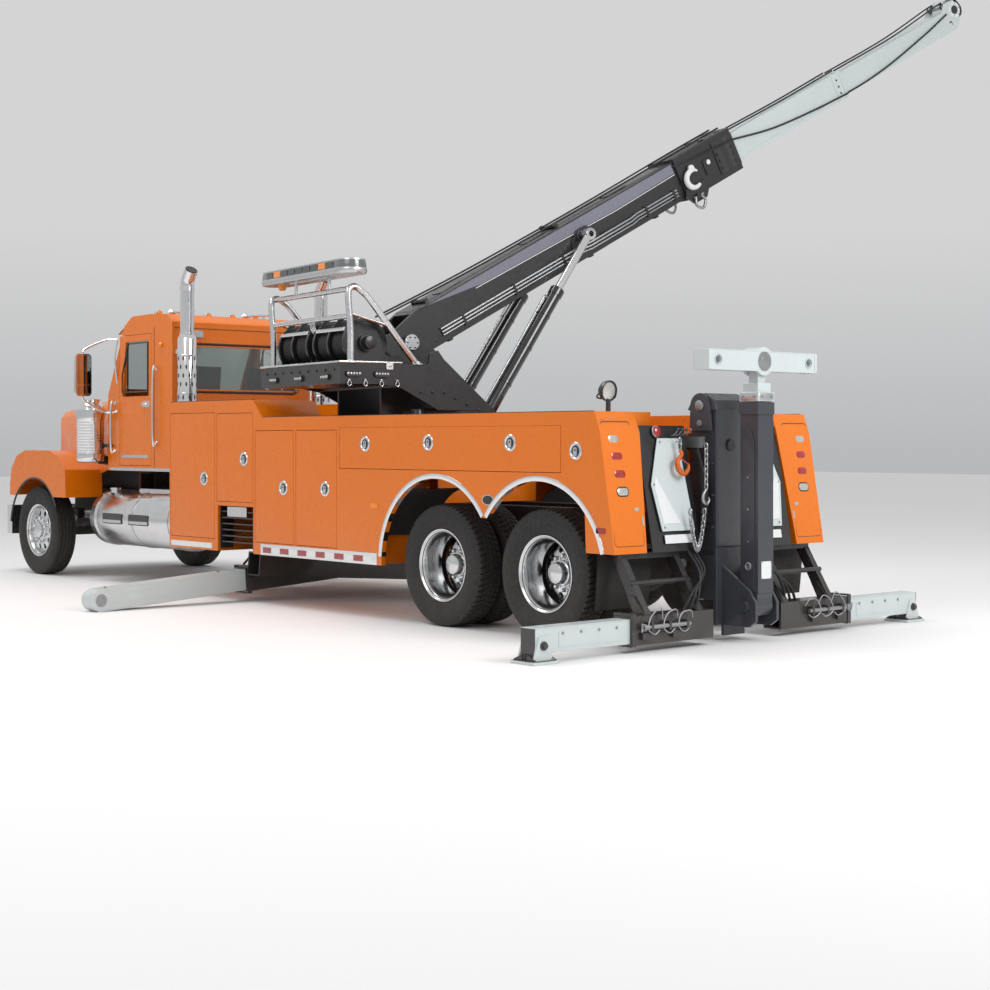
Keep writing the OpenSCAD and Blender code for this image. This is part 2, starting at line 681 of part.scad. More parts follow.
module winches() color([0.1, 0.1, 0.11]) placed() in_turret() {
    for (s = [-1, 1]) {
        y0 = s > 0 ? 60 : -700;
        x = -1010;
        z = 2560;
        bar_y(x, z, 130, y0, y0 + 640);
        for (y = [y0, y0 + 320, y0 + 610]) bar_y(x, z, 235, y, y + 30);
        for (y = [y0, y0 + 610]) block([x - 200, y, 2200], [x + 200, y + 30, z]);
    }
    block([-1100, -60, 2200], [-900, 60, 2700]);
}

// A side of the pylon is two legs, cut level at the deck, that meet under the light bar
pylon_r = 32;
pylon_z = 3090;
pylon_x = -1210;
pylon_y = turret_half - pylon_r;
function pylon_leg(foot) = let (half = pylon_r * norm([pylon_x - foot, pylon_z - deck_z]) / (pylon_z - deck_z))
    [[foot - half, deck_z], [foot + half, deck_z], [pylon_x + half, pylon_z], [pylon_x - half, pylon_z]];

module light_pylon() color(steel) placed() in_turret() {
    for (s = [-1, 1]) {
        for (foot = [-1230, -520]) along_y(pylon_leg(foot), s * pylon_y - pylon_r, s * pylon_y + pylon_r);
        bar_y(pylon_x, pylon_z, pylon_r + 20, s * pylon_y - pylon_r - 5, s * pylon_y + pylon_r + 5);
        bar_z(pylon_x, s * 350, 18, pylon_z, 3200);
    }
    bar_y(pylon_x, pylon_z, pylon_r - 4, -pylon_y, pylon_y);
    // light bar
    block([pylon_x - 150, -940, 3190], [pylon_x + 150, 940, 3330]);
}

// ------------------------------------------------------------------ boom
// A rectangular tube along the boom, from u0 to u1, middle at height w
module tube_u(u0, u1, width, depth, t, w) difference() {
    block([u0, -width / 2, w - depth / 2], [u1, width / 2, w + depth / 2]);
    block([u0 - 1, -width / 2 + t, w - depth / 2 + t], [u1 + 1, width / 2 - t, w + depth / 2 - t]);
}

stub_r = 45;
eye_half = lift_rod_d / 2;          // half width of the eye of a lift rod
stage_w0 = -20;                     // middle of the base stage below the foot pin line
inner_w = stage_w0 - 5;             // middle of the inner stages
module boom_base() color(black) placed() in_boom() difference() {
    union() {
        tube_u(350, base_len, boom_w, boom_h, boom_t, stage_w0);
        // foot
        difference() {
            along_y([[-110, -60], [-60, -110], [140, -150], [360, stage_w0 - boom_h / 2],
                     [360, stage_w0 + boom_h / 2], [-20, 110], [-110, 60]], -boom_w / 2, boom_w / 2);
            block([-200, -boom_w / 2 + 40, -300], [300, boom_w / 2 - 40, 300]);
        }
        // collar at the mouth
        tube_u(base_len - 900, base_len, boom_w + 50, boom_h + 60, 37, stage_w0);
        // wear pads that carry the middle stage
        for (s = [-1, 1]) {
            block([base_len - 200, s * (mid_w / 2 + seat + 12) - 12, inner_w - 60],
                  [base_len - 20, s * (mid_w / 2 + seat + 12) + 12, inner_w + 60]);
        }
        block([base_len - 200, -mid_w / 2, stage_w0 - boom_h / 2 + 5],
              [base_len - 20, mid_w / 2, inner_w - mid_h / 2 - seat]);
        // stubs of the rod pins
        bar_y(eye_u, 0, stub_r, -lift_y + eye_half + seat, lift_y - eye_half - seat);
    }
    bar_y(0, 0, foot_pin_r + seat, -boom_w, boom_w);
    block([400, -boom_w / 2 + boom_t, stage_w0 - boom_h / 2 + boom_t],
          [base_len - 250, boom_w / 2 - boom_t, stage_w0 + boom_h / 2 - boom_t]);
    block([base_len - 251, -mid_w / 2 - seat, inner_w - mid_h / 2 - seat],
          [base_len + 1, mid_w / 2 + seat, inner_w + mid_h / 2 + stage_gap]);
}

module boom_mid() color(grey) placed() in_boom() {
    tube_u(mid_end - mid_len, mid_end, mid_w, mid_h, boom_t, inner_w);
    // pads round the mouth
    tube_u(mid_end - 160, mid_end, mid_w, mid_h, boom_t + stage_gap - seat, inner_w);
}

module boom_tip() color(grey) placed() in_boom() {
    difference() {
        union() {
            tube_u(tip_end - tip_len, tip_end, tip_w, tip_h, boom_t, inner_w);
            // head plates
            for (s = [-1, 1]) along_y([[tip_end - 160, inner_w - tip_h / 2], [tip_end, inner_w - tip_h / 2],
                    [tip_end + 110, -70], [tip_end + 150, 60], [tip_end + 100, 190], [tip_end - 60, 200],
                    [tip_end - 160, inner_w + tip_h / 2]],
                s * (tip_w / 2 - 8) - 8, s * (tip_w / 2 - 8) + 8);
        }
        bar_y(tip_end - 60, tip_eye_w, tip_eye_r, -tip_w, tip_w);
    }
    bar_y(head_u, head_w, head_r, -head_half, head_half);
    bar_y(head_u, head_w, 30, -tip_w / 2 + 1, tip_w / 2 - 1);
    bar_y(tip_end - 40, 165, 28, -tip_w / 2 + 1, tip_w / 2 - 1);
}

module lift_barrels() color(black) placed() in_cylinder() for (s = [-1, 1]) difference() {
    union() {
        translate([0, s * lift_y, 0]) rotate([0, 90, 0]) cylinder(d = lift_d, h = barrel_len);
        translate([0, s * lift_y, 0]) rotate([90, 0, 0]) cylinder(r = 80, h = lift_d - 10, center = true);
        translate([barrel_len - 90, s * lift_y, 0]) rotate([0, 90, 0]) cylinder(d = lift_d + 16, h = 90);
    }
    translate([110, s * lift_y, 0]) rotate([0, 90, 0]) cylinder(d = lift_rod_d + 2 * seat, h = barrel_len);
    bar_y(0, 0, lift_pin_r + seat, s * lift_y - 80, s * lift_y + 80);
}

module lift_rods() color(steel) placed() in_cylinder() for (s = [-1, 1]) difference() {
    union() {
        translate([lift_len - rod_len, s * lift_y, 0]) rotate([0, 90, 0]) cylinder(d = lift_rod_d, h = rod_len - 50);
        bar_y(lift_len, 0, 62, s * lift_y - eye_half, s * lift_y + eye_half);
    }
    bar_y(lift_len, 0, 30, s * lift_y - eye_half - 1, s * lift_y + eye_half + 1);
}

// ------------------------------------------------------------------ outriggers
// Middle line of a front beam: at its root it is root_z high
fo_end_r = fo_h / 2 + 3;            // radius of the round end that stands on the ground
fo_root = [1340, fo_end_r + (front_reach - fo_end_r - 1340) * tan(fo_slope)];
module in_front_beam(left) placed() on_side(left)
    translate([left ? fo_x[0] : fo_x[1], fo_root[0], fo_root[1]]) rotate([-fo_slope, 0, 0]) children();

// Height of the top of a front tube at the distance y from the middle
function fo_top(y) = fo_root[1] + (fo_root[0] - y) * tan(fo_slope) + (fo_h / 2 + fo_tube) / cos(fo_slope);
fo_end = (front_reach - fo_root[0] - fo_end_r) / cos(fo_slope);
module front_leg(left) color(grey) {
    in_front_beam(left) {
        block([-fo_w / 2, fo_inner - fo_root[0], -fo_h / 2], [fo_w / 2, fo_end, fo_h / 2]);
    }
    x = left ? fo_x[0] : fo_x[1];
    placed() on_side(left) bar_x(front_reach - fo_end_r, fo_end_r, fo_end_r, x - fo_w / 2 - 4, x + fo_w / 2 + 4);
}

module rear_leg(left) color(grey) placed() on_side(left) {
    z0 = 75;
    block([ro_x - ro_w / 2, ro_inner, z0], [ro_x + ro_w / 2, rear_reach - 60, z0 + ro_h]);
    // foot pad and its ears
    block([ro_x - 130, rear_reach - 260, 0], [ro_x + 130, rear_reach, 24]);
    for (s = [-1, 1]) along_x([[rear_reach - 230, 20], [rear_reach - 30, 20], [rear_reach - 90, 200], [rear_reach - 170, 200]],
        ro_x + s * (ro_w / 2 + 10) - 10, ro_x + s * (ro_w / 2 + 10) + 10);
}

module outrigger_boxes() color(black) placed() {
    // front tubes, across the truck below the frame
    for (i = [0, 1]) on_side(i == 0) {
        translate([fo_x[i], fo_root[0], fo_root[1]]) rotate([-fo_slope, 0, 0]) difference() {
            block([-fo_w / 2 - fo_tube, -2560, -fo_h / 2 - fo_tube], [fo_w / 2 + fo_tube, -110, fo_h / 2 + fo_tube]);
            block([-fo_w / 2 - seat, -2561, -fo_h / 2 - seat], [fo_w / 2 + seat, -109, fo_h / 2 + seat]);
        }
    }
    for (i = [0, 1]) on_side(i == 0) for (s = [-1, 1]) {
        y = s * (frame_in - rail_w / 2);
        block([fo_x[i] - 100, y - 30, fo_top(y + s * 30) - 9], [fo_x[i] + 100, y + 30, frame_top - rail_h]);
    }
    // rear housings and the slanted legs that carry them
    both_sides() {
        difference() {
            block([ro_x - ro_w / 2 - 20, 420, 60], [ro_x + ro_w / 2 + 20, 1350, 75 + ro_h + 20]);
            block([ro_x - ro_w / 2 - seat, 419, 75 - seat], [ro_x + ro_w / 2 + seat, 1351, 75 + ro_h + seat]);
        }
        for (y = [500, 1100]) along_y([[ro_x - 60, 280], [ro_x + 60, 280], [-1380, 745], [-1480, 745]], y, y + 60);
        block([-1500, 500, 700], [-1360, 1160, 745]);
    }
}

// ------------------------------------------------------------------ underlift
module underlift_mast() color(black) placed() {
    difference() {
        union() {
            block([mast_x0, -mast_w / 2, 330], [mast_x1, mast_w / 2, mast_top - 140]);
            along_y([[mast_x0 - 20, mast_top - 140], [mast_x0, mast_top - 60], [mast_x0 + 110, mast_top],
                     [mast_x1 - 40, mast_top - 40], [mast_x1 + 20, mast_top - 140]], -mast_w / 2 - 20, mast_w / 2 + 20);
        }
        block([mast_x0 + 30, -mast_w / 2 + 30, 329], [mast_x1 - 30, mast_w / 2 - 30, mast_top - 200]);
    }
}

module underlift_carriage() color(black) placed() {
    x1 = mast_x0 - seat;
    y = stinger_w / 2 + 35;
    // slide shoes on the rear face and the sides of the mast
    block([x1 - 30, -mast_w / 2 - 35, 130], [x1, mast_w / 2 + 35, 760]);
    for (s = [-1, 1]) block([x1 - 1, s * (mast_w / 2 + 18) - 17, 340], [x1 + 120, s * (mast_w / 2 + 18) + 17, 700]);
    for (s = [-1, 1]) along_y([[x1 - 29, 130], [x1 - 29, 620], [stinger_x - 40, 430], [stinger_x - ear_back, 330], [stinger_x - ear_back, 180],
        [stinger_x - 40, 130]], s * y - 15, s * y + 15);
    block([x1 - 40, -y, 40], [x1 - 10, y, 135]);
    bar_y(stinger_x, fold_z, 40, -y - 40, y + 40);
}

module stinger() color(black) placed() difference() {
    w = stinger_w / 2;
    union() {
        block([stinger_x - w, -w, fold_z + 100], [stinger_x + w, w, stinger_top]);
        bar_y(stinger_x, fold_z, 90, -w, w);
        block([stinger_x - 85, -w, fold_z], [stinger_x + 85, w, fold_z + 101]);
    }
    block([stinger_x - w + 14, -w + 14, fold_z + 130], [stinger_x + w - 14, w - 14, stinger_top + 1]);
    bar_y(stinger_x, fold_z, 40 + seat, -w - 1, w + 1);
}

tongue_half = 45;
cheek_pin_r = 30;
module stinger_slide() color(grey) placed() {
    w = stinger_w / 2 - 14 - seat;
    block([stinger_x - w, -w, fold_z + 400], [stinger_x + w, w, cross_z - 175]);
    block([stinger_x - 100, -100, stinger_top + run], [stinger_x + 100, 100, stinger_top + 80]);
    // tongue, its eye and the pin that carries the crossbar
    block([stinger_x - 50, -tongue_half, cross_z - 176], [stinger_x + 50, tongue_half, cross_z]);
    bar_x(0, cross_z, 55, stinger_x - 50, stinger_x + 50);
    bar_x(0, cross_z, cheek_pin_r, stinger_x - cross_w / 2, stinger_x + cross_w / 2);
}

module crossbar() color(grey) placed() difference() {
    w = cross_w / 2;
    union() {
        block([stinger_x - w, -crossbar_half, cross_z - w], [stinger_x + w, crossbar_half, cross_z + w]);
        bar_x(0, cross_z, 115, stinger_x - w, stinger_x + w);
    }
    // slot for the tongue, bore for its pin
    block([stinger_x - 50 - run, -125, cross_z - 120], [stinger_x + 50 + run, 125, cross_z + 60]);
    bar_x(0, cross_z, cheek_pin_r + seat, stinger_x - w - 1, stinger_x + w + 1);
    both_sides() bar_x(crossbar_half - 110, cross_z, fork_r, stinger_x - w - 1, stinger_x + w + 1);
}

frame_rails();
front_bumper();
cab_shell();
cab_glass();
cab_interior();
engine_block();
air_cleaners();
fuel_tanks();
exhaust_stacks();
cab_mirrors();
axles();
tool_body();
rotator_base();
outrigger_boxes();
underlift_mast();
hood();
grille();
cab_door_left();
cab_door_right();
knuckle_left();
knuckle_right();
front_tyre(true);  // tyre_front_left
front_wheel_rim(true);  // rim_front_left
front_tyre(false);  // tyre_front_right
front_wheel_rim(false);  // rim_front_right
tyre_pair(true, 1);  // tyres_mid_left
rim_pair(true, 1);  // rims_mid_left
tyre_pair(false, 1);  // tyres_mid_right
rim_pair(false, 1);  // rims_mid_right
tyre_pair(true, -1);  // tyres_rear_left
rim_pair(true, -1);  // rims_rear_left
tyre_pair(false, -1);  // tyres_rear_right
rim_pair(false, -1);  // rims_rear_right
locker_door(true, 0);  // locker_door_left_1
locker_door(true, 1);  // locker_door_left_2
locker_door(true, 2);  // locker_door_left_3
locker_door(true, 3);  // locker_door_left_4
upper_door(true);  // upper_door_left
locker_door(false, 0);  // locker_door_right_1
locker_door(false, 1);  // locker_door_right_2
locker_door(false, 2);  // locker_door_right_3
locker_door(false, 3);  // locker_door_right_4
upper_door(false);  // upper_door_right
turret();
winches();
light_pylon();
boom_base();
boom_mid();
boom_tip();
lift_barrels();
lift_rods();
front_leg(true);  // front_leg_left
front_leg(false);  // front_leg_right
rear_leg(true);  // rear_leg_left
rear_leg(false);  // rear_leg_right
underlift_carriage();
stinger();
stinger_slide();
crossbar();
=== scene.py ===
"""Looks of a heavy rotator recovery truck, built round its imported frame.

Lengths are metres. Sizes written in the classes are measured in the truck's own axes: X forwards from midway
between the tandem axles, Y to the left, Z up from the ground. The turret, the boom and the lift cylinders
have axes of their own, worked out from the frame's joints.
"""
import json
import logging
from dataclasses import dataclass, field
from enum import Enum
from math import asin, atan2, cos, pi, radians, sin, tan
from typing import Iterable, Sequence

import bmesh
import bpy
import numpy as np
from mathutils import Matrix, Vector

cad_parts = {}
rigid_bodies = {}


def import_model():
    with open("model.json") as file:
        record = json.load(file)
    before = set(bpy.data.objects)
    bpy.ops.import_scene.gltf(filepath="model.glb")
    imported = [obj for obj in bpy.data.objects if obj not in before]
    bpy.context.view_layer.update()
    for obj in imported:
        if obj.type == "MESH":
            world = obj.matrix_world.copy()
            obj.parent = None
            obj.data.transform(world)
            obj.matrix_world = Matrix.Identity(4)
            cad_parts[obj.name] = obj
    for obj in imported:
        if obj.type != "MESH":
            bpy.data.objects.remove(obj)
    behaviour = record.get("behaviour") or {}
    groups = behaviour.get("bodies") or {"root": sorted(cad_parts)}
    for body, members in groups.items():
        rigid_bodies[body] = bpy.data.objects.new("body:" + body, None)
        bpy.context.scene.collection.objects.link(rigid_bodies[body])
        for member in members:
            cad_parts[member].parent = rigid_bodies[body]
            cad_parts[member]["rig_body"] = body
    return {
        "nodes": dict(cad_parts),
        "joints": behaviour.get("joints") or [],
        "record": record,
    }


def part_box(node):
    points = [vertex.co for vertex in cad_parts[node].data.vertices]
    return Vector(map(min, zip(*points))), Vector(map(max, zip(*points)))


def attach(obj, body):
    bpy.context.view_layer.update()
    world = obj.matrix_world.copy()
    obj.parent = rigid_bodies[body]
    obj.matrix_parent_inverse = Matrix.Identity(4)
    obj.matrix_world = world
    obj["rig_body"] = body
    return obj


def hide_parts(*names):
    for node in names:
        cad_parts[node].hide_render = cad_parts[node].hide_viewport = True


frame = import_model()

Array = np.ndarray
LOG = logging.getLogger("rotator")
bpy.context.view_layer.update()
BUMPER_FRONT = 9.4          # front face of the bumper in the truck's own axes
TAU = 2.0 * pi


# ---- finishes
class Slot(Enum):
    """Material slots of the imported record."""

    ORANGE = "body_orange"
    BLACK = "chassis_black"
    GREY = "pale_grey"
    CHROME = "polished_metal"
    WHEEL = "wheel_metal"
    TYRE = "tyre_rubber"
    GLASS = "window_glass"
    INSIDE = "interior_plastic"
    IRON = "engine_iron"


Colour = tuple[float, float, float]


@dataclass(frozen=True)
class Finish:
    """One procedural surface: a mottled colour, a varying gloss, a fine bump and dust low down.

    Attributes:
        name: Name of the material.
        colour: Linear base colour.
        slot: The record's slot that it stands for.
        metal: 1 for bare metal, 0 for anything else.
        rough: Roughness where the surface is cleanest.
        rough_spread: How much rougher its dull patches are.
        mottle: Share by which the colour darkens in patches.
        patch: Patches per metre.
        grain: Bumps per metre of the fine bump.
        bump: Strength of the fine bump.
        coat: Weight of a clear coat.
        dust: Share of road dust at the ground, fading out by dust_top.
        dust_top: Height where the dust ends, in metres.
        clear: Share of light let through, for glass and lenses.
        stretch: Scale of the bump along each axis, for brushed or wound surfaces.
    """

    name: str
    colour: Colour
    slot: Slot
    metal: float = 0.0
    rough: float = 0.35
    rough_spread: float = 0.12
    mottle: float = 0.1
    patch: float = 3.0
    grain: float = 220.0
    bump: float = 0.03
    coat: float = 0.0
    dust: float = 0.0
    dust_top: float = 1.0
    clear: float = 0.0
    stretch: Colour = (1, 1, 1)

    def material(self) -> bpy.types.Material:
        """The material, made once and shared."""
        made = bpy.data.materials.get(self.name)
        if made is None:
            made = bpy.data.materials.new(self.name)
            made.use_nodes = True
            self._wire(made.node_tree)
        return made

    def _wire(self, tree: bpy.types.NodeTree) -> None:
        """Lays out the nodes.

        Args:
            tree: The new material's node tree.
        """
        links = tree.links
        shader = tree.nodes["Principled BSDF"]
        place = tree.nodes.new("ShaderNodeTexCoord").outputs["Object"]
        patches = self._noise(tree, place, self.patch, 5)
        light = (*self.colour, 1)
        dark = (*(c * (1 - self.mottle) for c in self.colour), 1)
        colour = self._mix(tree, patches, light, dark)
        if self.dust > 0.0:
            colour = self._dusted(tree, place, patches, colour)
        links.new(colour, shader.inputs["Base Color"])
        gloss = tree.nodes.new("ShaderNodeMapRange")
        gloss.inputs["From Min"].default_value = 0.3
        gloss.inputs["From Max"].default_value = 0.7
        gloss.inputs["To Min"].default_value = self.rough
        gloss.inputs["To Max"].default_value = self.rough + self.rough_spread
        links.new(self._noise(tree, place, self.patch * 4, 6), gloss.inputs["Value"])
        links.new(gloss.outputs["Result"], shader.inputs["Roughness"])
        self._bumped(tree, place, shader)
        shader.inputs["Metallic"].default_value = self.metal
        shader.inputs["Coat Weight"].default_value = self.coat
        shader.inputs["Coat Roughness"].default_value = 0.06
        shader.inputs["Transmission Weight"].default_value = self.clear

    def _noise(self, tree: bpy.types.NodeTree, place: bpy.types.NodeSocket, scale: float,
            detail: float) -> bpy.types.NodeSocket:
        """A noise pattern on the piece's own coordinates.

        Args:
            tree: Node tree to add to.
            place: Object coordinates.
            scale: Patches per metre.
            detail: Octaves.

        Returns:
            The grey value of the noise.
        """
        noise = tree.nodes.new("ShaderNodeTexNoise")
        noise.inputs["Scale"].default_value = scale
        noise.inputs["Detail"].default_value = detail
        tree.links.new(place, noise.inputs["Vector"])
        return noise.outputs["Fac"]

    @staticmethod
    def _mix(tree: bpy.types.NodeTree, share: bpy.types.NodeSocket,
            first: Sequence[float] | bpy.types.NodeSocket, second: Sequence[float]) -> bpy.types.NodeSocket:
        """Mixes two colours by a grey value.

        Args:
            tree: Node tree to add to.
            share: How much of the second colour.
            first: First colour, or a socket that gives it.
            second: Second colour.

        Returns:
            The mixed colour.
        """
        mix = tree.nodes.new("ShaderNodeMix")
        mix.data_type = "RGBA"
        tree.links.new(share, mix.inputs["Factor"])
        if isinstance(first, bpy.types.NodeSocket):
            tree.links.new(first, mix.inputs[6])
        else:
            mix.inputs[6].default_value = first
        mix.inputs[7].default_value = second
        return mix.outputs[2]

    def _dusted(self, tree: bpy.types.NodeTree, place: bpy.types.NodeSocket, patches: bpy.types.NodeSocket,
            colour: bpy.types.NodeSocket) -> bpy.types.NodeSocket:
        """Fades road dust in towards the ground.

        Args:
            tree: Node tree to add to.
            place: Object coordinates.
            patches: The grey patches, which break the dust up.
            colour: The clean colour.

        Returns:
            The dusty colour.
        """
        split = tree.nodes.new("ShaderNodeSeparateXYZ")
        tree.links.new(place, split.inputs["Vector"])
        height = tree.nodes.new("ShaderNodeMapRange")
        height.inputs["From Min"].default_value = self.dust_top
        height.inputs["From Max"].default_value = 0.0
        height.inputs["To Max"].default_value = self.dust
        tree.links.new(split.outputs["Z"], height.inputs["Value"])
        share = tree.nodes.new("ShaderNodeMath")
        share.operation = "MULTIPLY"
        tree.links.new(height.outputs["Result"], share.inputs[0])
        tree.links.new(patches, share.inputs[1])
        return self._mix(tree, share.outputs[0], colour, (0.27, 0.22, 0.17, 1))

    def _bumped(self, tree: bpy.types.NodeTree, place: bpy.types.NodeSocket,
            shader: bpy.types.ShaderNode) -> None:
        """Adds the fine bump.

        Args:
            tree: Node tree to add to.
            place: Object coordinates.
            shader: The surface shader.
        """
        if self.bump <= 0.0:
            return
        mapping = tree.nodes.new("ShaderNodeMapping")
        mapping.inputs["Scale"].default_value = self.stretch
        tree.links.new(place, mapping.inputs["Vector"])
        bump = tree.nodes.new("ShaderNodeBump")
        bump.inputs["Strength"].default_value = self.bump
        bump.inputs["Distance"].default_value = 0.002
        tree.links.new(self._noise(tree, mapping.outputs["Vector"], self.grain, 3), bump.inputs["Height"])
        tree.links.new(bump.outputs["Normal"], shader.inputs["Normal"])


ORANGE = Finish("orange_lacquer", (0.74, 0.165, 0), Slot.ORANGE, rough=0.24, rough_spread=0.1, mottle=0.06,
    patch=1.6, grain=900, bump=0.012, coat=0.22, dust=0.14, dust_top=0.8)
BLACK = Finish("black_satin_paint", (0.016, 0.016, 0.018), Slot.BLACK, rough=0.3, rough_spread=0.18,
    mottle=0.35, patch=5, grain=420, bump=0.05, coat=0.35, dust=0.22, dust_top=0.9)
SLATE = Finish("slate_satin_paint", (0.045, 0.047, 0.058), Slot.BLACK, rough=0.34, rough_spread=0.16,
    mottle=0.25, patch=4, grain=420, bump=0.05, coat=0.3)
FRAME = Finish("frame_enamel", (0.012, 0.012, 0.013), Slot.BLACK, rough=0.5, rough_spread=0.25, mottle=0.4,
    patch=7, grain=300, bump=0.12, dust=0.45, dust_top=1.1)
GREY = Finish("pale_grey_enamel", (0.56, 0.62, 0.62), Slot.GREY, rough=0.3, rough_spread=0.16, mottle=0.1,
    patch=3, grain=500, bump=0.03, coat=0.4, dust=0.12, dust_top=0.4)
CHROME = Finish("bright_chrome", (0.8, 0.8, 0.81), Slot.CHROME, metal=1, rough=0.07, rough_spread=0.08,
    mottle=0.1, patch=8, grain=700, bump=0.01)
BRUSHED = Finish("brushed_aluminium", (0.66, 0.67, 0.68), Slot.CHROME, metal=1, rough=0.24,
    rough_spread=0.14, mottle=0.14, patch=6, grain=260, bump=0.05, stretch=(0.15, 3, 3))
POLISHED = Finish("polished_wheel", (0.74, 0.75, 0.76), Slot.WHEEL, metal=1, rough=0.14, rough_spread=0.12,
    mottle=0.15, patch=9, grain=500, bump=0.03, dust=0.1, dust_top=1)
STEEL = Finish("zinc_steel", (0.42, 0.43, 0.44), Slot.CHROME, metal=1, rough=0.33, rough_spread=0.2,
    mottle=0.25, patch=14, grain=500, bump=0.08)
RUBBER = Finish("tyre_rubber_black", (0.014, 0.014, 0.015), Slot.TYRE, rough=0.62, rough_spread=0.22,
    mottle=0.3, patch=9, grain=380, bump=0.18, dust=0.16, dust_top=1.1)
GLASS = Finish("tinted_glass", (0.55, 0.62, 0.6), Slot.GLASS, rough=0.02, rough_spread=0.02, mottle=0.05,
    patch=2, grain=60, bump=0.004, clear=0.92)
VINYL = Finish("cab_vinyl", (0.045, 0.045, 0.05), Slot.INSIDE, rough=0.5, rough_spread=0.2, mottle=0.25,
    patch=8, grain=520, bump=0.22)
IRON = Finish("engine_casting", (0.09, 0.09, 0.09), Slot.IRON, metal=0.4, rough=0.55, rough_spread=0.2,
    mottle=0.4, patch=11, grain=260, bump=0.35)

AMBER = Finish("amber_lens", (0.9, 0.26, 0.01), Slot.GLASS, rough=0.08, rough_spread=0.05, mottle=0.1,
    patch=20, grain=900, bump=0.05, coat=0.6)
LENS = Finish("lamp_glass", (0.7, 0.74, 0.76), Slot.GLASS, metal=0.6, rough=0.06, rough_spread=0.05,
    mottle=0.1, patch=18, grain=700, bump=0.15, coat=1)
CLEAR_LENS = Finish("clear_lens", (0.62, 0.6, 0.55), Slot.GLASS, metal=0.5, rough=0.08, rough_spread=0.06,
    mottle=0.25, patch=60, grain=900, bump=0.3, coat=1)
RED_LENS = Finish("red_lens", (0.36, 0.01, 0.008), Slot.GLASS, rough=0.08, rough_spread=0.05, mottle=0.2,
    patch=40, grain=900, bump=0.2, coat=1)
DARK_LENS = Finish("dark_cell", (0.03, 0.035, 0.04), Slot.GLASS, metal=0.3, rough=0.12, rough_spread=0.1,
    mottle=0.4, patch=60, grain=700, bump=0.3, coat=1)
LIGHTBAR = Finish("smoked_ribs", (0.2, 0.215, 0.22), Slot.GLASS, metal=0.25, rough=0.1, rough_spread=0.1,
    mottle=0.6, patch=9, grain=300, bump=0.3, coat=1, stretch=(1, 3, 0.2))
MIRROR = Finish("mirror_glass", (0.6, 0.62, 0.64), Slot.GLASS, metal=1, rough=0.02, rough_spread=0.02,
    mottle=0.05, patch=5, grain=50, bump=0.004)
WHITE_TAPE = Finish("white_reflector", (0.8, 0.81, 0.8), Slot.GREY, rough=0.25, rough_spread=0.1,
    mottle=0.15, patch=60, grain=600, bump=0.2, coat=0.6)
WHITE_PAINT = Finish("white_enamel", (0.74, 0.75, 0.76), Slot.GREY, rough=0.3, rough_spread=0.15,
    mottle=0.12, patch=12, grain=500, bump=0.04, coat=0.4)
LAVENDER = Finish("lavender_grey_band", (0.2, 0.2, 0.255), Slot.BLACK, rough=0.26, rough_spread=0.12,
    mottle=0.15, patch=3, grain=500, bump=0.03, coat=0.5)
BLACK_GLOSS = Finish("black_gloss_paint", (0.01, 0.01, 0.011), Slot.BLACK, rough=0.16, rough_spread=0.12,
    mottle=0.3, patch=6, grain=500, bump=0.03, coat=0.8)
SATIN = Finish("satin_tube", (0.7, 0.71, 0.72), Slot.CHROME, metal=1, rough=0.2, rough_spread=0.12,
    mottle=0.12, patch=8, grain=400, bump=0.04)
HOSE = Finish("hydraulic_hose", (0.012, 0.012, 0.013), Slot.BLACK, rough=0.45, rough_spread=0.2,
    mottle=0.3, patch=20, grain=900, bump=0.25)
ROPE = Finish("wire_rope", (0.055, 0.055, 0.058), Slot.BLACK, metal=0.7, rough=0.42, rough_spread=0.2,
    mottle=0.5, patch=60, grain=420, bump=0.7)
CORD = Finish("pin_cord", (0.5, 0.5, 0.52), Slot.CHROME, metal=0.8, rough=0.35, rough_spread=0.2,
    mottle=0.4, patch=90, grain=600, bump=0.5)
HOOK_ORANGE = Finish("hook_orange", (0.62, 0.11, 0.004), Slot.ORANGE, rough=0.35, rough_spread=0.15,
    mottle=0.3, patch=14, grain=300, bump=0.15)

NODE_FINISH: dict[Slot, Finish] = {Slot.ORANGE: ORANGE, Slot.BLACK: BLACK, Slot.GREY: GREY,
    Slot.CHROME: CHROME, Slot.WHEEL: POLISHED, Slot.TYRE: RUBBER, Slot.GLASS: GLASS, Slot.INSIDE: VINYL,
    Slot.IRON: IRON,}


# ---- places
@dataclass(frozen=True)
class Place:
    """A set of axes in the row frame, as a turn and an origin.

    Attributes:
        turn: 3x3 matrix whose columns are the local axes.
        origin: Where the local origin is.
    """

    turn: Array
    origin: Array

    def moved(self, points: Array) -> Array:
        """Local points in the row frame.

        Args:
            points: Points in these axes.

        Returns:
            The same points in the frame.
        """
        return np.asarray(points, float) @ self.turn.T + self.origin

    def inner(self, turn: Array, origin: Sequence[float]) -> "Place":
        """Axes given inside these ones.

        Args:
            turn: 3x3 matrix of the inner axes.
            origin: Inner origin, in these axes.

        Returns:
            The inner axes in the row frame.
        """
        return Place(self.turn @ turn, self.moved(np.asarray(origin, float)))

    def mirrored(self) -> "Place":
        """The same axes with the local Y turned round."""
        return Place(self.turn @ np.diag([1, -1, 1]), self.origin)


def spin_z(angle: float) -> Array:
    """Matrix that turns by an angle about Z.

    Args:
        angle: Angle in radians.

    Returns:
        The rotation matrix.
    """
    c, s = cos(angle), sin(angle)
    return np.array([[c, -s, 0], [s, c, 0], [0, 0, 1]])


def spin_y(angle: float) -> Array:
    """Matrix that tips the X axis up towards Z by an angle.

    Args:
        angle: Angle in radians.

    Returns:
        The rotation matrix.
    """
    c, s = cos(angle), sin(angle)
    return np.array([[c, 0, -s], [0, 1, 0], [s, 0, c]])


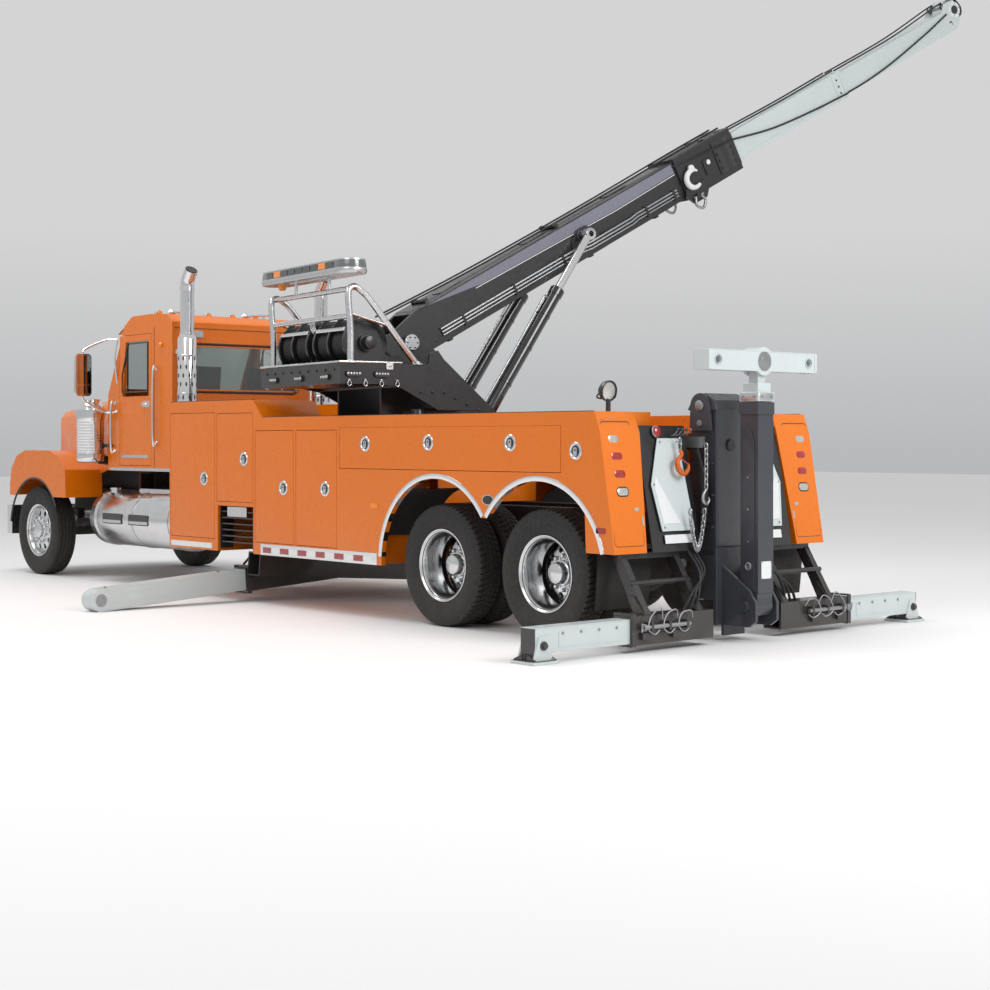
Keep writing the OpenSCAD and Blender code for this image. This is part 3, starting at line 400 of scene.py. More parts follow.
def joint(name: str) -> dict:
    """The frame's joint of that name.

    Args:
        name: Name of the joint.

    Returns:
        What the frame says of it.
    """
    return next(j for j in frame["joints"] if j["name"] == name)


def node_slot(node: str) -> Slot:
    """Material slot of a node in the record.

    Args:
        node: Name of the node.

    Returns:
        Its material slot.
    """
    return Slot(next(p["material_slot"] for p in frame["record"]["subparts"] if p["node"] == node))


def middle_y(node: str) -> float:
    """Middle of a node across the truck.

    Args:
        node: Name of the node.

    Returns:
        The middle of its box across the row.
    """
    low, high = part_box(node)
    return (low.y + high.y) / 2.0


def truck_place() -> Place:
    """The truck's own axes: on the ground midway between the tandem axles."""
    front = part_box("front_bumper")[1].x - BUMPER_FRONT
    return Place(np.eye(3), np.array([front, middle_y("frame_rails"), 0]))


def turret_place() -> Place:
    """Axes of the turret: X along the boom's heading, on the ground under the slewing axis."""
    x, y, _ = joint("turret_slew")["pos_m"]
    heading = joint("boom_mid_slide")["axis"]
    return Place(spin_z(atan2(heading[1], heading[0])), np.array([x, y, 0]))


def tipped(name_pivot: str, name_slide: str) -> Place:
    """Axes at a pivot with X along a slide that rides on it.

    Args:
        name_pivot: Joint whose position is the origin.
        name_slide: Joint whose axis gives X.

    Returns:
        The tipped axes.
    """
    axis = np.array(joint(name_slide)["axis"], float)
    heading = atan2(axis[1], axis[0])
    turn = spin_z(heading) @ spin_y(asin(axis[2]))
    return Place(turn, np.array(joint(name_pivot)["pos_m"], float))


TRUCK = truck_place()
TURRET = turret_place()
BOOM = tipped("boom_lift", "boom_mid_slide")
CYLINDER = tipped("lift_barrels_tilt", "lift_rods_slide")


# ---- surface tools
class Plane(Enum):
    """The two axes an outline is drawn in, and the one it is run along."""

    XZ = (0, 2, 1)
    YZ = (1, 2, 0)
    XY = (0, 1, 2)


XZ, YZ, XY = Plane


def circle(radius: float, count: int, start: float = 0, sweep: float = TAU) -> Array:
    """Points (r cos a, r sin a) at even angles a, without the last one of a full turn.

    Args:
        radius: Radius r.
        count: Number of points.
        start: First angle.
        sweep: Angle gone through.

    Returns:
        The points.
    """
    a = start + np.arange(count) * sweep / (count if sweep == TAU else count - 1)
    return np.stack([radius * np.cos(a), radius * np.sin(a)], 1)


def rounded_box(width: float, height: float, radius: float, steps: int = 5) -> Array:
    """Outline of a rectangle with round corners: each corner is a quarter circle about its own centre.

    Args:
        width: Full width.
        height: Full height.
        radius: Corner radius.
        steps: Segments in each corner.

    Returns:
        The outline's points, counter-clockwise.
    """
    radius = min(radius, width / 2 - 1e-4, height / 2 - 1e-4)
    quarter = np.linspace(0, pi / 2, steps + 1)
    corners = []
    for i, (sx, sy) in enumerate(((1, 1), (-1, 1), (-1, -1), (1, -1))):
        a = quarter + i * pi / 2
        centre = np.array([sx * (width / 2 - radius), sy * (height / 2 - radius)])
        corners.append(centre + radius * np.stack([np.cos(a), np.sin(a)], 1))
    return np.concatenate(corners)


def smooth_path(points: Sequence[Sequence[float]], steps: int = 8, loop: bool = False) -> Array:
    """A Catmull-Rom curve through the points: each span blends its four neighbours by cubic weights.

    Args:
        points: Points to pass through.
        steps: Segments in each span.
        loop: True where the last point joins the first.

    Returns:
        The curve's points.
    """
    p = np.asarray(points, float)
    p = np.concatenate([p[-1:], p, p[:2]]) if loop else np.concatenate([2 * p[:1] - p[1:2], p,
        2 * p[-1:] - p[-2:-1]])
    t = (np.arange(steps) / steps)[:, None, None]
    a, b, c, d = p[:-3], p[1:-2], p[2:-1], p[3:]
    curve = 0.5 * (2 * b + (c - a) * t + (2 * a - 5 * b + 4 * c - d) * t**2 + (3 * b - a - 3 * c + d) * t**3)
    curve = curve.transpose(1, 0, 2).reshape(-1, p.shape[1])
    return curve if loop else np.concatenate([curve, p[-2:-1]])


def frames_along(path: Array, loop: bool) -> tuple[Array, Array]:
    """Two cross directions at each point of a path, turned as little as possible from point to point.

    Args:
        path: Points of the path.
        loop: True where it closes on itself.

    Returns:
        The first and the second cross direction at each point.
    """
    if loop:
        tangent = np.roll(path, -1, 0) - np.roll(path, 1, 0)
    else:
        tangent = np.gradient(path, axis=0)
    tangent /= np.linalg.norm(tangent, axis=1)[:, None]
    first = np.zeros_like(path)
    seed = np.eye(3)[np.argmin(np.abs(tangent[0]))]
    for i, t in enumerate(tangent):
        seed = seed - t * (seed @ t)
        seed = seed / np.linalg.norm(seed)
        first[i] = seed
    return first, np.cross(tangent, first)


class Shape:
    """Gathers the surfaces of one piece, each drawn in the axes that are set at the time."""

    def __init__(self, place: Place = TRUCK) -> None:
        """Starts an empty piece.

        Args:
            place: Axes of what is drawn next.
        """
        self.place = place
        self.slot = 0
        self._points: list[Array] = []
        self._faces: list[list[int]] = []
        self._slots: list[int] = []
        self._count = 0

    def ink(self, slot: int) -> "Shape":
        """Gives what follows another of the piece's finishes.

        Args:
            slot: Number of the finish.

        Returns:
            This shape.
        """
        self.slot = slot
        return self

    def add(self, points: Array, faces: list[list[int]]) -> "Shape":
        """Adds local points and faces.

        Args:
            points: Points in the axes that are set.
            faces: Faces as lists of point numbers.

        Returns:
            This piece.
        """
        self._points.append(self.place.moved(points))
        self._faces += [[i + self._count for i in f] for f in faces]
        self._slots += [self.slot] * len(faces)
        self._count += len(points)
        return self

    def surface(self, grid: Array, loop_u: bool = False, loop_v: bool = False, caps: bool = False) -> "Shape":
        """Adds a grid of points as four-sided faces.

        Args:
            grid: Array of rows by columns by 3.
            loop_u: True where the last row joins the first.
            loop_v: True where the last column joins the first.
            caps: True to close the first and last rows with flat faces.

        Returns:
            This piece.
        """
        rows, columns = grid.shape[:2]
        u = np.arange(rows if loop_u else rows - 1)[:, None]
        v = np.arange(columns if loop_v else columns - 1)[None, :]
        u1, v1 = (u + 1) % rows, (v + 1) % columns
        quads = np.stack([u * columns + v, u1 * columns + v, u1 * columns + v1, u * columns + v1], -1)
        faces = quads.reshape(-1, 4).tolist()
        if caps:
            faces += [list(range(columns)), list(range((rows - 1) * columns, rows * columns))]
        return self.add(grid.reshape(-1, 3), faces)

    def revolve(self, profile: Sequence[Sequence[float]], centre: Sequence[float], axis: Sequence[float],
            sides: int = 40, start: float = 0, loop: bool = False) -> "Shape":
        """Turns a profile about an axis: (h, r) goes to centre + h axis + r (first cos a + second sin a).

        Args:
            profile: Pairs of distance along the axis and radius.
            centre: Point on the axis.
            axis: Direction of the axis.
            sides: Segments of a turn.
            start: First angle.
            loop: True where the profile closes on itself.

        Returns:
            This piece.
        """
        line = np.asarray(axis, float) / np.linalg.norm(axis)
        seed = np.eye(3)[np.argmin(np.abs(line))]
        first = np.cross(line, seed)
        first /= np.linalg.norm(first)
        second = np.cross(line, first)
        h, r = np.asarray(profile, float).T
        a = start + np.arange(sides) * TAU / sides
        ring = first * np.cos(a)[:, None] + second * np.sin(a)[:, None]
        grid = np.asarray(centre, float) + h[:, None, None] * line + r[:, None, None] * ring[None]
        return self.surface(grid, loop_u=loop, loop_v=True)

    def rod(self, a: Sequence[float], b: Sequence[float], radius: float, sides: int = 20,
            edge: float = 0.15) -> "Shape":
        """Adds a round bar with chamfered, closed ends between two points.

        Args:
            a: One end.
            b: The other end.
            radius: Its radius.
            sides: Segments of a turn.
            edge: Chamfer as a share of the radius.

        Returns:
            This piece.
        """
        line = np.asarray(b, float) - np.asarray(a, float)
        length = float(np.linalg.norm(line))
        c = min(edge * radius, length / 3)
        profile = [(0, 0), (0, radius - c), (c, radius), (length - c, radius), (length, radius - c),
            (length, 0)]
        return self.revolve(profile, a, line, sides)

    def tube(self, path: Array, radius: float | Array, sides: int = 12, loop: bool = False,
            outline: Array | None = None) -> "Shape":
        """Carries a circle, or another outline, along a path.

        Args:
            path: Points of the path.
            radius: Radius, or one at each point.
            sides: Points of the circle.
            loop: True where the path closes on itself.
            outline: Cross-section to use in place of a circle of radius 1.

        Returns:
            This piece.
        """
        path = np.asarray(path, float)
        first, second = frames_along(path, loop)
        section = circle(1, sides) if outline is None else outline
        size = np.broadcast_to(np.asarray(radius, float), (len(path),))[:, None, None]
        ring = first[:, None] * section[None, :, :1] + second[:, None] * section[None, :, 1:]
        return self.surface(path[:, None] + size * ring, loop_u=loop, loop_v=True, caps=not loop)

    def bend(self, points: Sequence[Sequence[float]], radius: float | Array, sides: int, steps: int,
            loop: bool = False) -> "Shape":
        """Carries a circle along the smooth curve through some points.

        Args:
            points: Points that the curve goes through.
            radius: Radius of the circle, or one for each point of the curve.
            sides: Sides of the circle.
            steps: Points of the curve in each span.
            loop: Whether the curve closes.

        Returns:
            This shape.
        """
        return self.tube(smooth_path(points, steps, loop), radius, sides, loop)

    def bolt(self, centre: Sequence[float], axis: Sequence[float], radius: float, height: float,
            dome: float = 0.001) -> "Shape":
        """Adds a hexagon bolt head.

        Args:
            centre: Middle of its foot.
            axis: Direction it points in.
            radius: Radius over its corners.
            height: Height up to its rim.
            dome: Rise of its crown above the rim.

        Returns:
            This shape.
        """
        return self.revolve([(0, radius), (height, radius - 0.001), (height + dome, 0)], centre, axis, 6)

    def prism(self, outline: Sequence[Sequence[float]], plane: Plane, low: float, high: float) -> "Shape":
        """Runs an outline straight along the axis across its plane.

        Args:
            outline: Points in the plane.
            plane: The plane it is drawn in.
            low: Start along the third axis.
            high: End along the third axis.

        Returns:
            This piece.
        """
        a, b, c = plane.value
        low, high = sorted((low, high))
        flat = np.asarray(outline, float)
        grid = np.zeros((2, len(flat), 3))
        grid[:, :, a], grid[:, :, b] = flat[:, 0], flat[:, 1]
        grid[0, :, c], grid[1, :, c] = low, high
        return self.surface(grid, loop_v=True, caps=True)

    def block(self, low: Sequence[float], high: Sequence[float], round_by: float = 0,
            plane: Plane = XY) -> "Shape":
        """Adds a bar whose outline in one plane may have round corners.

        Args:
            low: Lowest corner.
            high: Highest corner.
            round_by: Corner radius of the outline.
            plane: Plane of the outline.

        Returns:
            This piece.
        """
        a, b, c = plane.value
        low, high = np.minimum(low, high), np.maximum(low, high)
        size = (high[a] - low[a], high[b] - low[b])
        outline = rounded_box(*size, round_by) if round_by > 0 else np.array([[size[0] / 2, size[1] / 2],
            [-size[0] / 2, size[1] / 2], [-size[0] / 2, -size[1] / 2], [size[0] / 2, -size[1] / 2]])
        centre = np.array([(high[a] + low[a]) / 2, (high[b] + low[b]) / 2])
        return self.prism(outline + centre, plane, low[c], high[c])

    def ball(self, centre: Sequence[float], radius: float, sides: int = 16, squash: float = 1) -> "Shape":
        """Adds a ball, flattened along Z by a share.

        Args:
            centre: Its middle.
            radius: Its radius.
            sides: Sides round it.
            squash: Its height over its width.

        Returns:
            This shape.
        """
        a = np.linspace(0, pi, max(6, sides // 2 + 1))
        profile = np.stack([-radius * squash * np.cos(a), radius * np.sin(a)], 1)
        return self.revolve(profile, centre, (0, 0, 1), sides)

    def build(self, name: str, body: str, finishes: Finish | Sequence[Finish], bevel: float = 0,
            replaces: Iterable[str] = (), smooth: float = 35, segments: int = 2) -> bpy.types.Object:
        """Makes the mesh and its object, and says what it rides on.

        Args:
            name: Name of the piece.
            body: Body of the frame that it moves with.
            finishes: Its finish, or one for each ink.
            bevel: Width of a bevel on sharp edges.
            replaces: Nodes of the frame that it stands for.
            smooth: Angle in degrees below which edges are shaded smooth.
            segments: Segments of the bevel.

        Returns:
            The new object.
        """
        mesh = bpy.data.meshes.new(name)
        mesh.from_pydata(np.concatenate(self._points).tolist(), [], self._faces)
        mesh.polygons.foreach_set("material_index", self._slots)
        return settle(mesh, name, body, finishes, bevel, replaces, smooth, segments)


def settle(mesh: bpy.types.Mesh, name: str, body: str, finishes: Finish | Sequence[Finish], bevel: float,
        replaces: Iterable[str], smooth: float, segments: int = 2) -> bpy.types.Object:
    """Cleans a mesh, turns its faces outwards, dresses it and lets it ride on a body.

    Args:
        mesh: The mesh, in the row frame.
        name: Name of the piece.
        body: Body that it moves with.
        finishes: Its finish or finishes.
        bevel: Width of a bevel on sharp edges.
        replaces: Nodes of the frame that it stands for.
        smooth: Angle in degrees below which edges are shaded smooth.
        segments: Segments of the bevel.

    Returns:
        The new object.
    """
    work = bmesh.new()
    work.from_mesh(mesh)
    bmesh.ops.remove_doubles(work, verts=work.verts, dist=2e-5)
    bmesh.ops.dissolve_degenerate(work, edges=work.edges, dist=1e-6)
    bmesh.ops.recalc_face_normals(work, faces=work.faces)
    work.to_mesh(mesh)
    work.free()
    mesh.polygons.foreach_set("use_smooth", [True] * len(mesh.polygons))
    mesh.set_sharp_from_angle(angle=radians(smooth))
    piece = bpy.data.objects.new(name, mesh)
    bpy.context.scene.collection.objects.link(piece)
    if bevel > 0:
        edge = piece.modifiers.new("edges", "BEVEL")
        edge.width = bevel
        edge.segments = segments
        edge.limit_method = "ANGLE"
        edge.angle_limit = radians(40)
        edge.use_clamp_overlap = True
        edge.harden_normals = True
    chosen = [finishes] if isinstance(finishes, Finish) else list(finishes)
    for finish in chosen:
        mesh.materials.append(finish.material())
    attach(piece, body)
    replaced = list(replaces)
    if replaced:
        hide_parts(*replaced)
    LOG.info("%s: %d faces", name, len(mesh.polygons))
    return piece


def soften(node: str, finish: Finish, bevel: float, name: str | None = None,
        segments: int = 3) -> bpy.types.Object:
    """Stands a copy of a frame node, with whole flat faces and rounded edges, in the node's place.

    Args:
        node: The node.
        finish: Finish of the copy.
        bevel: Width of its rounded edges.
        name: Name of the copy, or the node's with _skin.
        segments: Segments of the rounding.

    Returns:
        The new object.
    """
    source = frame["nodes"][node]
    mesh = source.data.copy()
    mesh.materials.clear()
    work = bmesh.new()
    work.from_mesh(mesh)
    bmesh.ops.remove_doubles(work, verts=work.verts, dist=2e-5)
    bmesh.ops.dissolve_limit(work, angle_limit=radians(0.6), verts=work.verts, edges=work.edges)
    work.to_mesh(mesh)
    work.free()
    mesh.polygons.foreach_set("material_index", [0] * len(mesh.polygons))
    return settle(mesh, name or node + "_skin", source["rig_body"], finish, bevel, [node], 35, segments)


# ---- studio
@dataclass
class Studio:
    """Pale floor, soft lights and the camera.

    Attributes:
        eye: Camera in the truck's own axes.
        look: Direction it looks along.
        lens: Focal length in millimetres.
        shift: Vertical shift of the picture.
        world: Brightness of the surroundings.
    """

    eye: tuple[float, float, float] = (-11.037, 10.762, 1.633)
    look: tuple[float, float, float] = (0.755, -0.656, 0)
    lens: float = 62.36
    shift: float = -0.0544
    world: float = 0.66
    lights: tuple[tuple[tuple[float, float, float], float, float], ...] = (((-10, -1, 7.5), 6, 760),
        ((-2, 12, 9.5), 8, 300), ((7, 3, 11.5), 7, 620))

    def build(self) -> None:
        """Makes the floor, the lights, the world and the camera."""
        scene = bpy.context.scene
        self._floor()
        for i, (where, size, power) in enumerate(self.lights):
            lamp = bpy.data.lights.new(f"softbox_{i}", "AREA")
            lamp.energy, lamp.size = power, size
            lamp.shape = "DISK"
            holder = bpy.data.objects.new(f"softbox_{i}", lamp)
            scene.collection.objects.link(holder)
            place = Vector(TRUCK.moved(where))
            holder.location = place
            aim = Vector(TRUCK.moved((2.5, 0, 1.5)))
            holder.rotation_euler = (aim - place).to_track_quat("-Z", "Y").to_euler()
        world = scene.world or bpy.data.worlds.new("studio")
        scene.world = world
        world.use_nodes = True
        self._sky(world.node_tree)
        camera = bpy.data.cameras.new("camera")
        camera.lens, camera.sensor_width, camera.shift_y = self.lens, 36.0, self.shift
        camera.clip_end = 400.0
        holder = bpy.data.objects.new("camera", camera)
        scene.collection.objects.link(holder)
        holder.location = TRUCK.moved(self.eye)
        holder.rotation_euler = Vector(self.look).to_track_quat("-Z", "Y").to_euler()
        scene.camera = holder
        scene.view_settings.view_transform = "Standard"

    def _floor(self) -> None:
        """A wide flat floor: a grid of points at height zero."""
        half = 60.0
        mesh = bpy.data.meshes.new("floor")
        mesh.from_pydata([(-half, -half, 0), (half, -half, 0), (half, half, 0), (-half, half, 0)], [],
            [(0, 1, 2, 3)])
        floor = bpy.data.objects.new("floor", mesh)
        bpy.context.scene.collection.objects.link(floor)
        material = bpy.data.materials.new("pale_floor")
        material.use_nodes = True
        shader = material.node_tree.nodes["Principled BSDF"]
        shader.inputs["Base Color"].default_value = (0.86, 0.86, 0.86, 1)
        shader.inputs["Roughness"].default_value = 0.7
        mesh.materials.append(material)

    def _sky(self, tree: bpy.types.NodeTree) -> None:
        """Soft surroundings: white above, with a grey band at the horizon for the chrome to mirror.

        Args:
            tree: The world's node tree.
        """
        ground = tree.nodes["Background"]
        ramp = tree.nodes.new("ShaderNodeValToRGB")
        ramp.color_ramp.elements[0].position, ramp.color_ramp.elements[0].color = 0.42, (0.55, 0.55, 0.55, 1)
        ramp.color_ramp.elements[1].position, ramp.color_ramp.elements[1].color = 0.56, (1, 1, 1, 1)
        middle = ramp.color_ramp.elements.new(0.5)
        middle.color = (0.74, 0.75, 0.77, 1)
        split = tree.nodes.new("ShaderNodeSeparateXYZ")
        place = tree.nodes.new("ShaderNodeTexCoord")
        height = tree.nodes.new("ShaderNodeMapRange")
        height.inputs["From Min"].default_value = -1.0
        tree.links.new(place.outputs["Generated"], split.inputs["Vector"])
        tree.links.new(split.outputs["Z"], height.inputs["Value"])
        tree.links.new(height.outputs["Result"], ramp.inputs["Fac"])
        tree.links.new(ramp.outputs["Color"], ground.inputs["Color"])
        ground.inputs["Strength"].default_value = self.world


@dataclass
class Skins:
    """Softened copies of the frame's plain nodes, in their finishes.

    Attributes:
        bevels: Width of the rounded edges of some nodes.
        finishes: Finish of the nodes that don't take their slot's own.
        bevel: Width for the rest.
    """

    bevel: float = 0.005
    bevels: dict[str, float] = field(default_factory=lambda: {"cab_shell": 0.012, "hood": 0.012,
        "front_bumper": 0.015, "tool_body": 0.006, "outrigger_boxes": 0.006, "cab_door_left": 0.004,
        "cab_door_right": 0.004, "winches": 0.004, "cab_glass": 0.001, "cab_interior": 0.01,
        "engine_block": 0.006, "boom_base": 0.012, "boom_mid": 0.012, "boom_tip": 0.01})
    finishes: dict[str, Finish] = field(default_factory=lambda: {"outrigger_boxes": BLACK,
        "frame_rails": FRAME, "axles": FRAME, "light_pylon": BRUSHED, "underlift_mast": SLATE,
        "stinger": SLATE, "underlift_carriage": SLATE, "rotator_base": SLATE})

    def build(self) -> None:
        """Makes the copies."""
        for node, source in sorted(frame["nodes"].items()):
            if source.hide_render:
                continue
            finish = self.finishes.get(node, NODE_FINISH[node_slot(node)])
            soften(node, finish, self.bevels.get(node, self.bevel))


# ---- wheels
@dataclass
class Wheels:
    """Tyres with cut treads and polished disc rims on all three axles.

    Attributes:
        radius: Outer radius of a tyre.
        shoulder: Half width of its tread.
        bead: Radius of the bead.
        axle_z: Height of the axles.
        front_x: Place of the front axle.
        gap: Half the distance between the tandem axles.
        front_y: Middle plane of a front tyre.
        outer_y: Middle plane of an outer twin.
        inner_y: Middle plane of an inner twin.
        blocks: Tread blocks in a turn.
        holes: Hand holes and wheel nuts of a disc.
    """

    radius: float = 0.54
    shoulder: float = 0.112
    bead: float = 0.292
    axle_z: float = 0.54
    front_x: float = 8.55
    gap: float = 0.667
    front_y: float = 1.06
    outer_y: float = 1.095
    inner_y: float = 0.755
    blocks: int = 64
    holes: int = 10

    def build(self) -> None:
        """Makes the tyres and rims of both sides."""
        for name, place in (("left", TRUCK), ("right", TRUCK.mirrored())):
            body = f"front_wheel_{name}"
            tyre = Shape(place)
            self._tyre(tyre, self.front_x, self.front_y, False)
            tyre.build(f"front_tyre_{name}", body, RUBBER, replaces=[f"tyre_front_{name}"])
            self._front_rim(place, name, body)
            for row, x in (("mid", self.gap), ("rear", -self.gap)):
                pair = Shape(place)
                self._tyre(pair, x, self.outer_y, True)
                self._tyre(pair, x, self.inner_y, True)
                pair.build(f"{row}_tyres_{name}", f"{row}_wheels_{name}", RUBBER,
                    replaces=[f"tyres_{row}_{name}"])
                self._twin_rims(place, name, row, x)

    def _tyre(self, shape: Shape, x: float, y: float, drive: bool) -> None:
        """A tyre: its section is turned about the axle, and a tread point sinks where there is a groove.

        The radius of a tread column is the crown less the depth of a lengthwise groove, and less that of a
        cross groove at the angles between two blocks, which lag with the distance from the middle.

        Args:
            shape: Piece to add to.
            x: Place of the axle.
            y: Middle plane.
            drive: True for the deeper cross grooves of a driven axle.
        """
        ribs = np.array([-0.112, -0.072, -0.064, -0.028, -0.021, 0.021, 0.028, 0.064, 0.072, 0.112])
        columns, depth, cross = [], [], []
        for i in range(5):
            low, high = ribs[2 * i], ribs[2 * i + 1]
            share = (1, 0.65, 0.35, 0.65, 1)[i] * (1 if drive else 0.35)
            for y0, deep in ((low, 0), ((low + high) / 2, 0), (high, 0)):
                columns.append(y0), depth.append(deep), cross.append(share)
            if i < 4:
                for y0 in (high + 0.001, ribs[2 * i + 2] - 0.001):
                    columns.append(y0), depth.append(0.014), cross.append(0)
        wall = np.array([[0.104, self.bead], [0.104, 0.32], [0.112, 0.33], [0.116, 0.334], [0.119, 0.338],
            [0.126, 0.362], [0.1335, 0.385], [0.1375, 0.405], [0.1385, 0.409], [0.139, 0.425],
            [0.1398, 0.45], [0.138, 0.472], [0.1335, 0.492], [0.1305, 0.497], [0.128, 0.508],
            [0.1195, 0.524], [0.1145, 0.531]])
        tread = np.asarray(columns)
        crown = self.radius - 0.007 * (tread / self.shoulder) ** 2 - np.asarray(depth)
        section_y = np.concatenate([-wall[:, 0], tread, wall[::-1, 0]])
        section_r = np.concatenate([wall[:, 1], crown, wall[::-1, 1]])
        weight = np.concatenate([np.zeros(len(wall)), np.asarray(cross), np.zeros(len(wall))])
        weight[len(wall) - 2:len(wall)] = weight[-len(wall):-len(wall) + 2] = 0.8 if drive else 0.2
        step = np.tile([0, 0.76, 0.8, 0.96], self.blocks)
        cut = np.tile([0, 0, 1, 1], self.blocks)
        angle = (np.repeat(np.arange(self.blocks), 4) + step) * TAU / self.blocks
        lag = 0.55 * np.abs(section_y) / self.shoulder * TAU / self.blocks
        lag = lag + np.where(section_y > 0, 0.5, 0) * TAU / self.blocks * (weight > 0)
        a = angle[:, None] + lag[None, :] * (weight > 0)
        r = section_r[None, :] - 0.013 * weight[None, :] * cut[:, None]
        grid = np.stack([x + r * np.cos(a), np.broadcast_to(y + section_y, r.shape),
            self.axle_z + r * np.sin(a)], -1)
        shape.surface(grid, loop_u=True, loop_v=True)

    def _disc(self, shape: Shape, x: float, y: float, dish: float, inner: float, outer: float) -> None:
        """A wheel disc: each tenth is a grid whose rings go from the hand hole to the edge of the sector.

        Args:
            shape: Piece to add to.
            x: Place of the axle.
            y: Plane of the disc.
            dish: How far its middle stands out.
            inner: Inner radius.
            outer: Outer radius.
        """
        hole, middle = 0.031, 0.207
        side = np.linspace(-1, 1, 9)[:-1]
        one = np.ones(8)
        p = np.concatenate([one, -side, -one, side])
        q = np.concatenate([side, one, -side, -one])
        phi = np.arctan2(q, p)
        half = (outer - inner) / 2
        edge_r = (outer + inner) / 2 + p * half
        edge_a = q * pi / self.holes
        edge = np.stack([edge_r * np.cos(edge_a), edge_r * np.sin(edge_a)], 1)
        rim = np.stack([middle + hole * np.cos(phi), hole * np.sin(phi)], 1)
        share = np.array([0, 0, 0.06, 0.14, 0.45, 1])[:, None, None]
        flat = rim + share * (edge - rim)
        radius = np.linalg.norm(flat, axis=2)
        height = dish * (1 - ((radius - inner) / (outer - inner)) ** 2)
        height[0] -= 0.02
        height[1] -= 0.006
        for k in range(self.holes):
            turn = k * TAU / self.holes
            c, s = cos(turn), sin(turn)
            grid = np.stack([x + c * flat[..., 0] - s * flat[..., 1], y + height,
                self.axle_z + s * flat[..., 0] + c * flat[..., 1]], -1)
            shape.surface(grid, loop_v=True)

    def _nuts(self, shape: Shape, x: float, y: float) -> None:
        """A ring of ten domed wheel nuts on flanged seats.

        Args:
            shape: Piece to draw in.
            x: Place along the truck.
            y: Place across the truck.
        """
        profile = [(0, 0), (0, 0.024), (0.004, 0.024), (0.006, 0.019), (0.034, 0.018), (0.042, 0.013),
            (0.046, 0)]
        for k in range(self.holes):
            turn = (k + 0.5) * TAU / self.holes
            shape.revolve(profile, (x + 0.143 * cos(turn), y, self.axle_z + 0.143 * sin(turn)), (0, 1, 0), 12)

    def _barrel(self, shape: Shape, x: float, y: float, disc: float) -> None:
        """The lip and the barrel of a rim: a closed section from the lip to the disc, turned round.

        Args:
            shape: Piece to draw in.
            x: Place along the truck.
            y: Place across the truck.
            disc: Place of the disc from the middle of the rim.
        """
        shape.revolve([(0.108, 0.318), (0.113, 0.322), (0.116, 0.32), (0.1155, 0.312), (0.108, 0.303),
            (0.096, 0.289), (0.08, 0.284), (0.05, 0.277), (disc + 0.02, 0.27), (disc, 0.27), (-0.1, 0.27),
            (-0.116, 0.316), (-0.113, 0.322), (-0.106, 0.32), (-0.104, 0.292), (0.1, 0.2915),
            (0.106, 0.3)], (x, y, self.axle_z), (0, 1, 0), 96, loop=True)

    def _front_rim(self, place: Place, name: str, body: str) -> None:
        """A front rim, whose disc bulges out almost to its lip.

        Args:
            place: Axes of the side.
            name: Side, left or right.
            body: Body that it rides on.
        """
        x, y = self.front_x, self.front_y
        shape = Shape(place)
        self._barrel(shape, x, y, 0.04)
        self._disc(shape, x, y + 0.044, 0.03, 0.112, 0.272)
        shape.revolve([(-0.01, 0), (-0.01, 0.276), (0.044, 0.272)], (x, y, self.axle_z), (0, 1, 0), 96)
        shape.revolve([(0.04, 0.118), (0.078, 0.114), (0.082, 0.104), (0.088, 0.094), (0.122, 0.09),
            (0.13, 0.08), (0.134, 0.06), (0.134, 0)], (x, y, self.axle_z), (0, 1, 0), 48)
        self._nuts(shape, x, y + 0.07)
        shape.build(f"front_rim_{name}", body, POLISHED, replaces=[f"rim_front_{name}"])

    def _twin_rims(self, place: Place, name: str, row: str, x: float) -> None:
        """Twin rims back to back: a deep dish outside, with hand holes, nuts and a stepped hub.

        Args:
            place: Axes of the side.
            name: Side, left or right.
            row: Axle, mid or rear.
            x: Place along the truck.
        """
        shape = Shape(place)
        self._barrel(shape, x, self.outer_y, -0.1)
        self._barrel(shape, x, self.inner_y, 0.1)
        disc = self.outer_y - 0.15
        self._disc(shape, x, disc, 0.034, 0.112, 0.272)
        shape.revolve([(-0.062, 0), (-0.062, 0.276), (0, 0.272)], (x, disc, self.axle_z), (0, 1, 0), 96)
        shape.revolve([(0.02, 0.12), (0.046, 0.117), (0.05, 0.108), (0.086, 0.104), (0.092, 0.094),
            (0.138, 0.09), (0.152, 0.084), (0.16, 0.07), (0.16, 0)], (x, disc, self.axle_z), (0, 1, 0), 48)
        self._nuts(shape, x, disc + 0.034)
        shape.build(f"{row}_rims_{name}", f"{row}_wheels_{name}", POLISHED, replaces=[f"rims_{row}_{name}"])


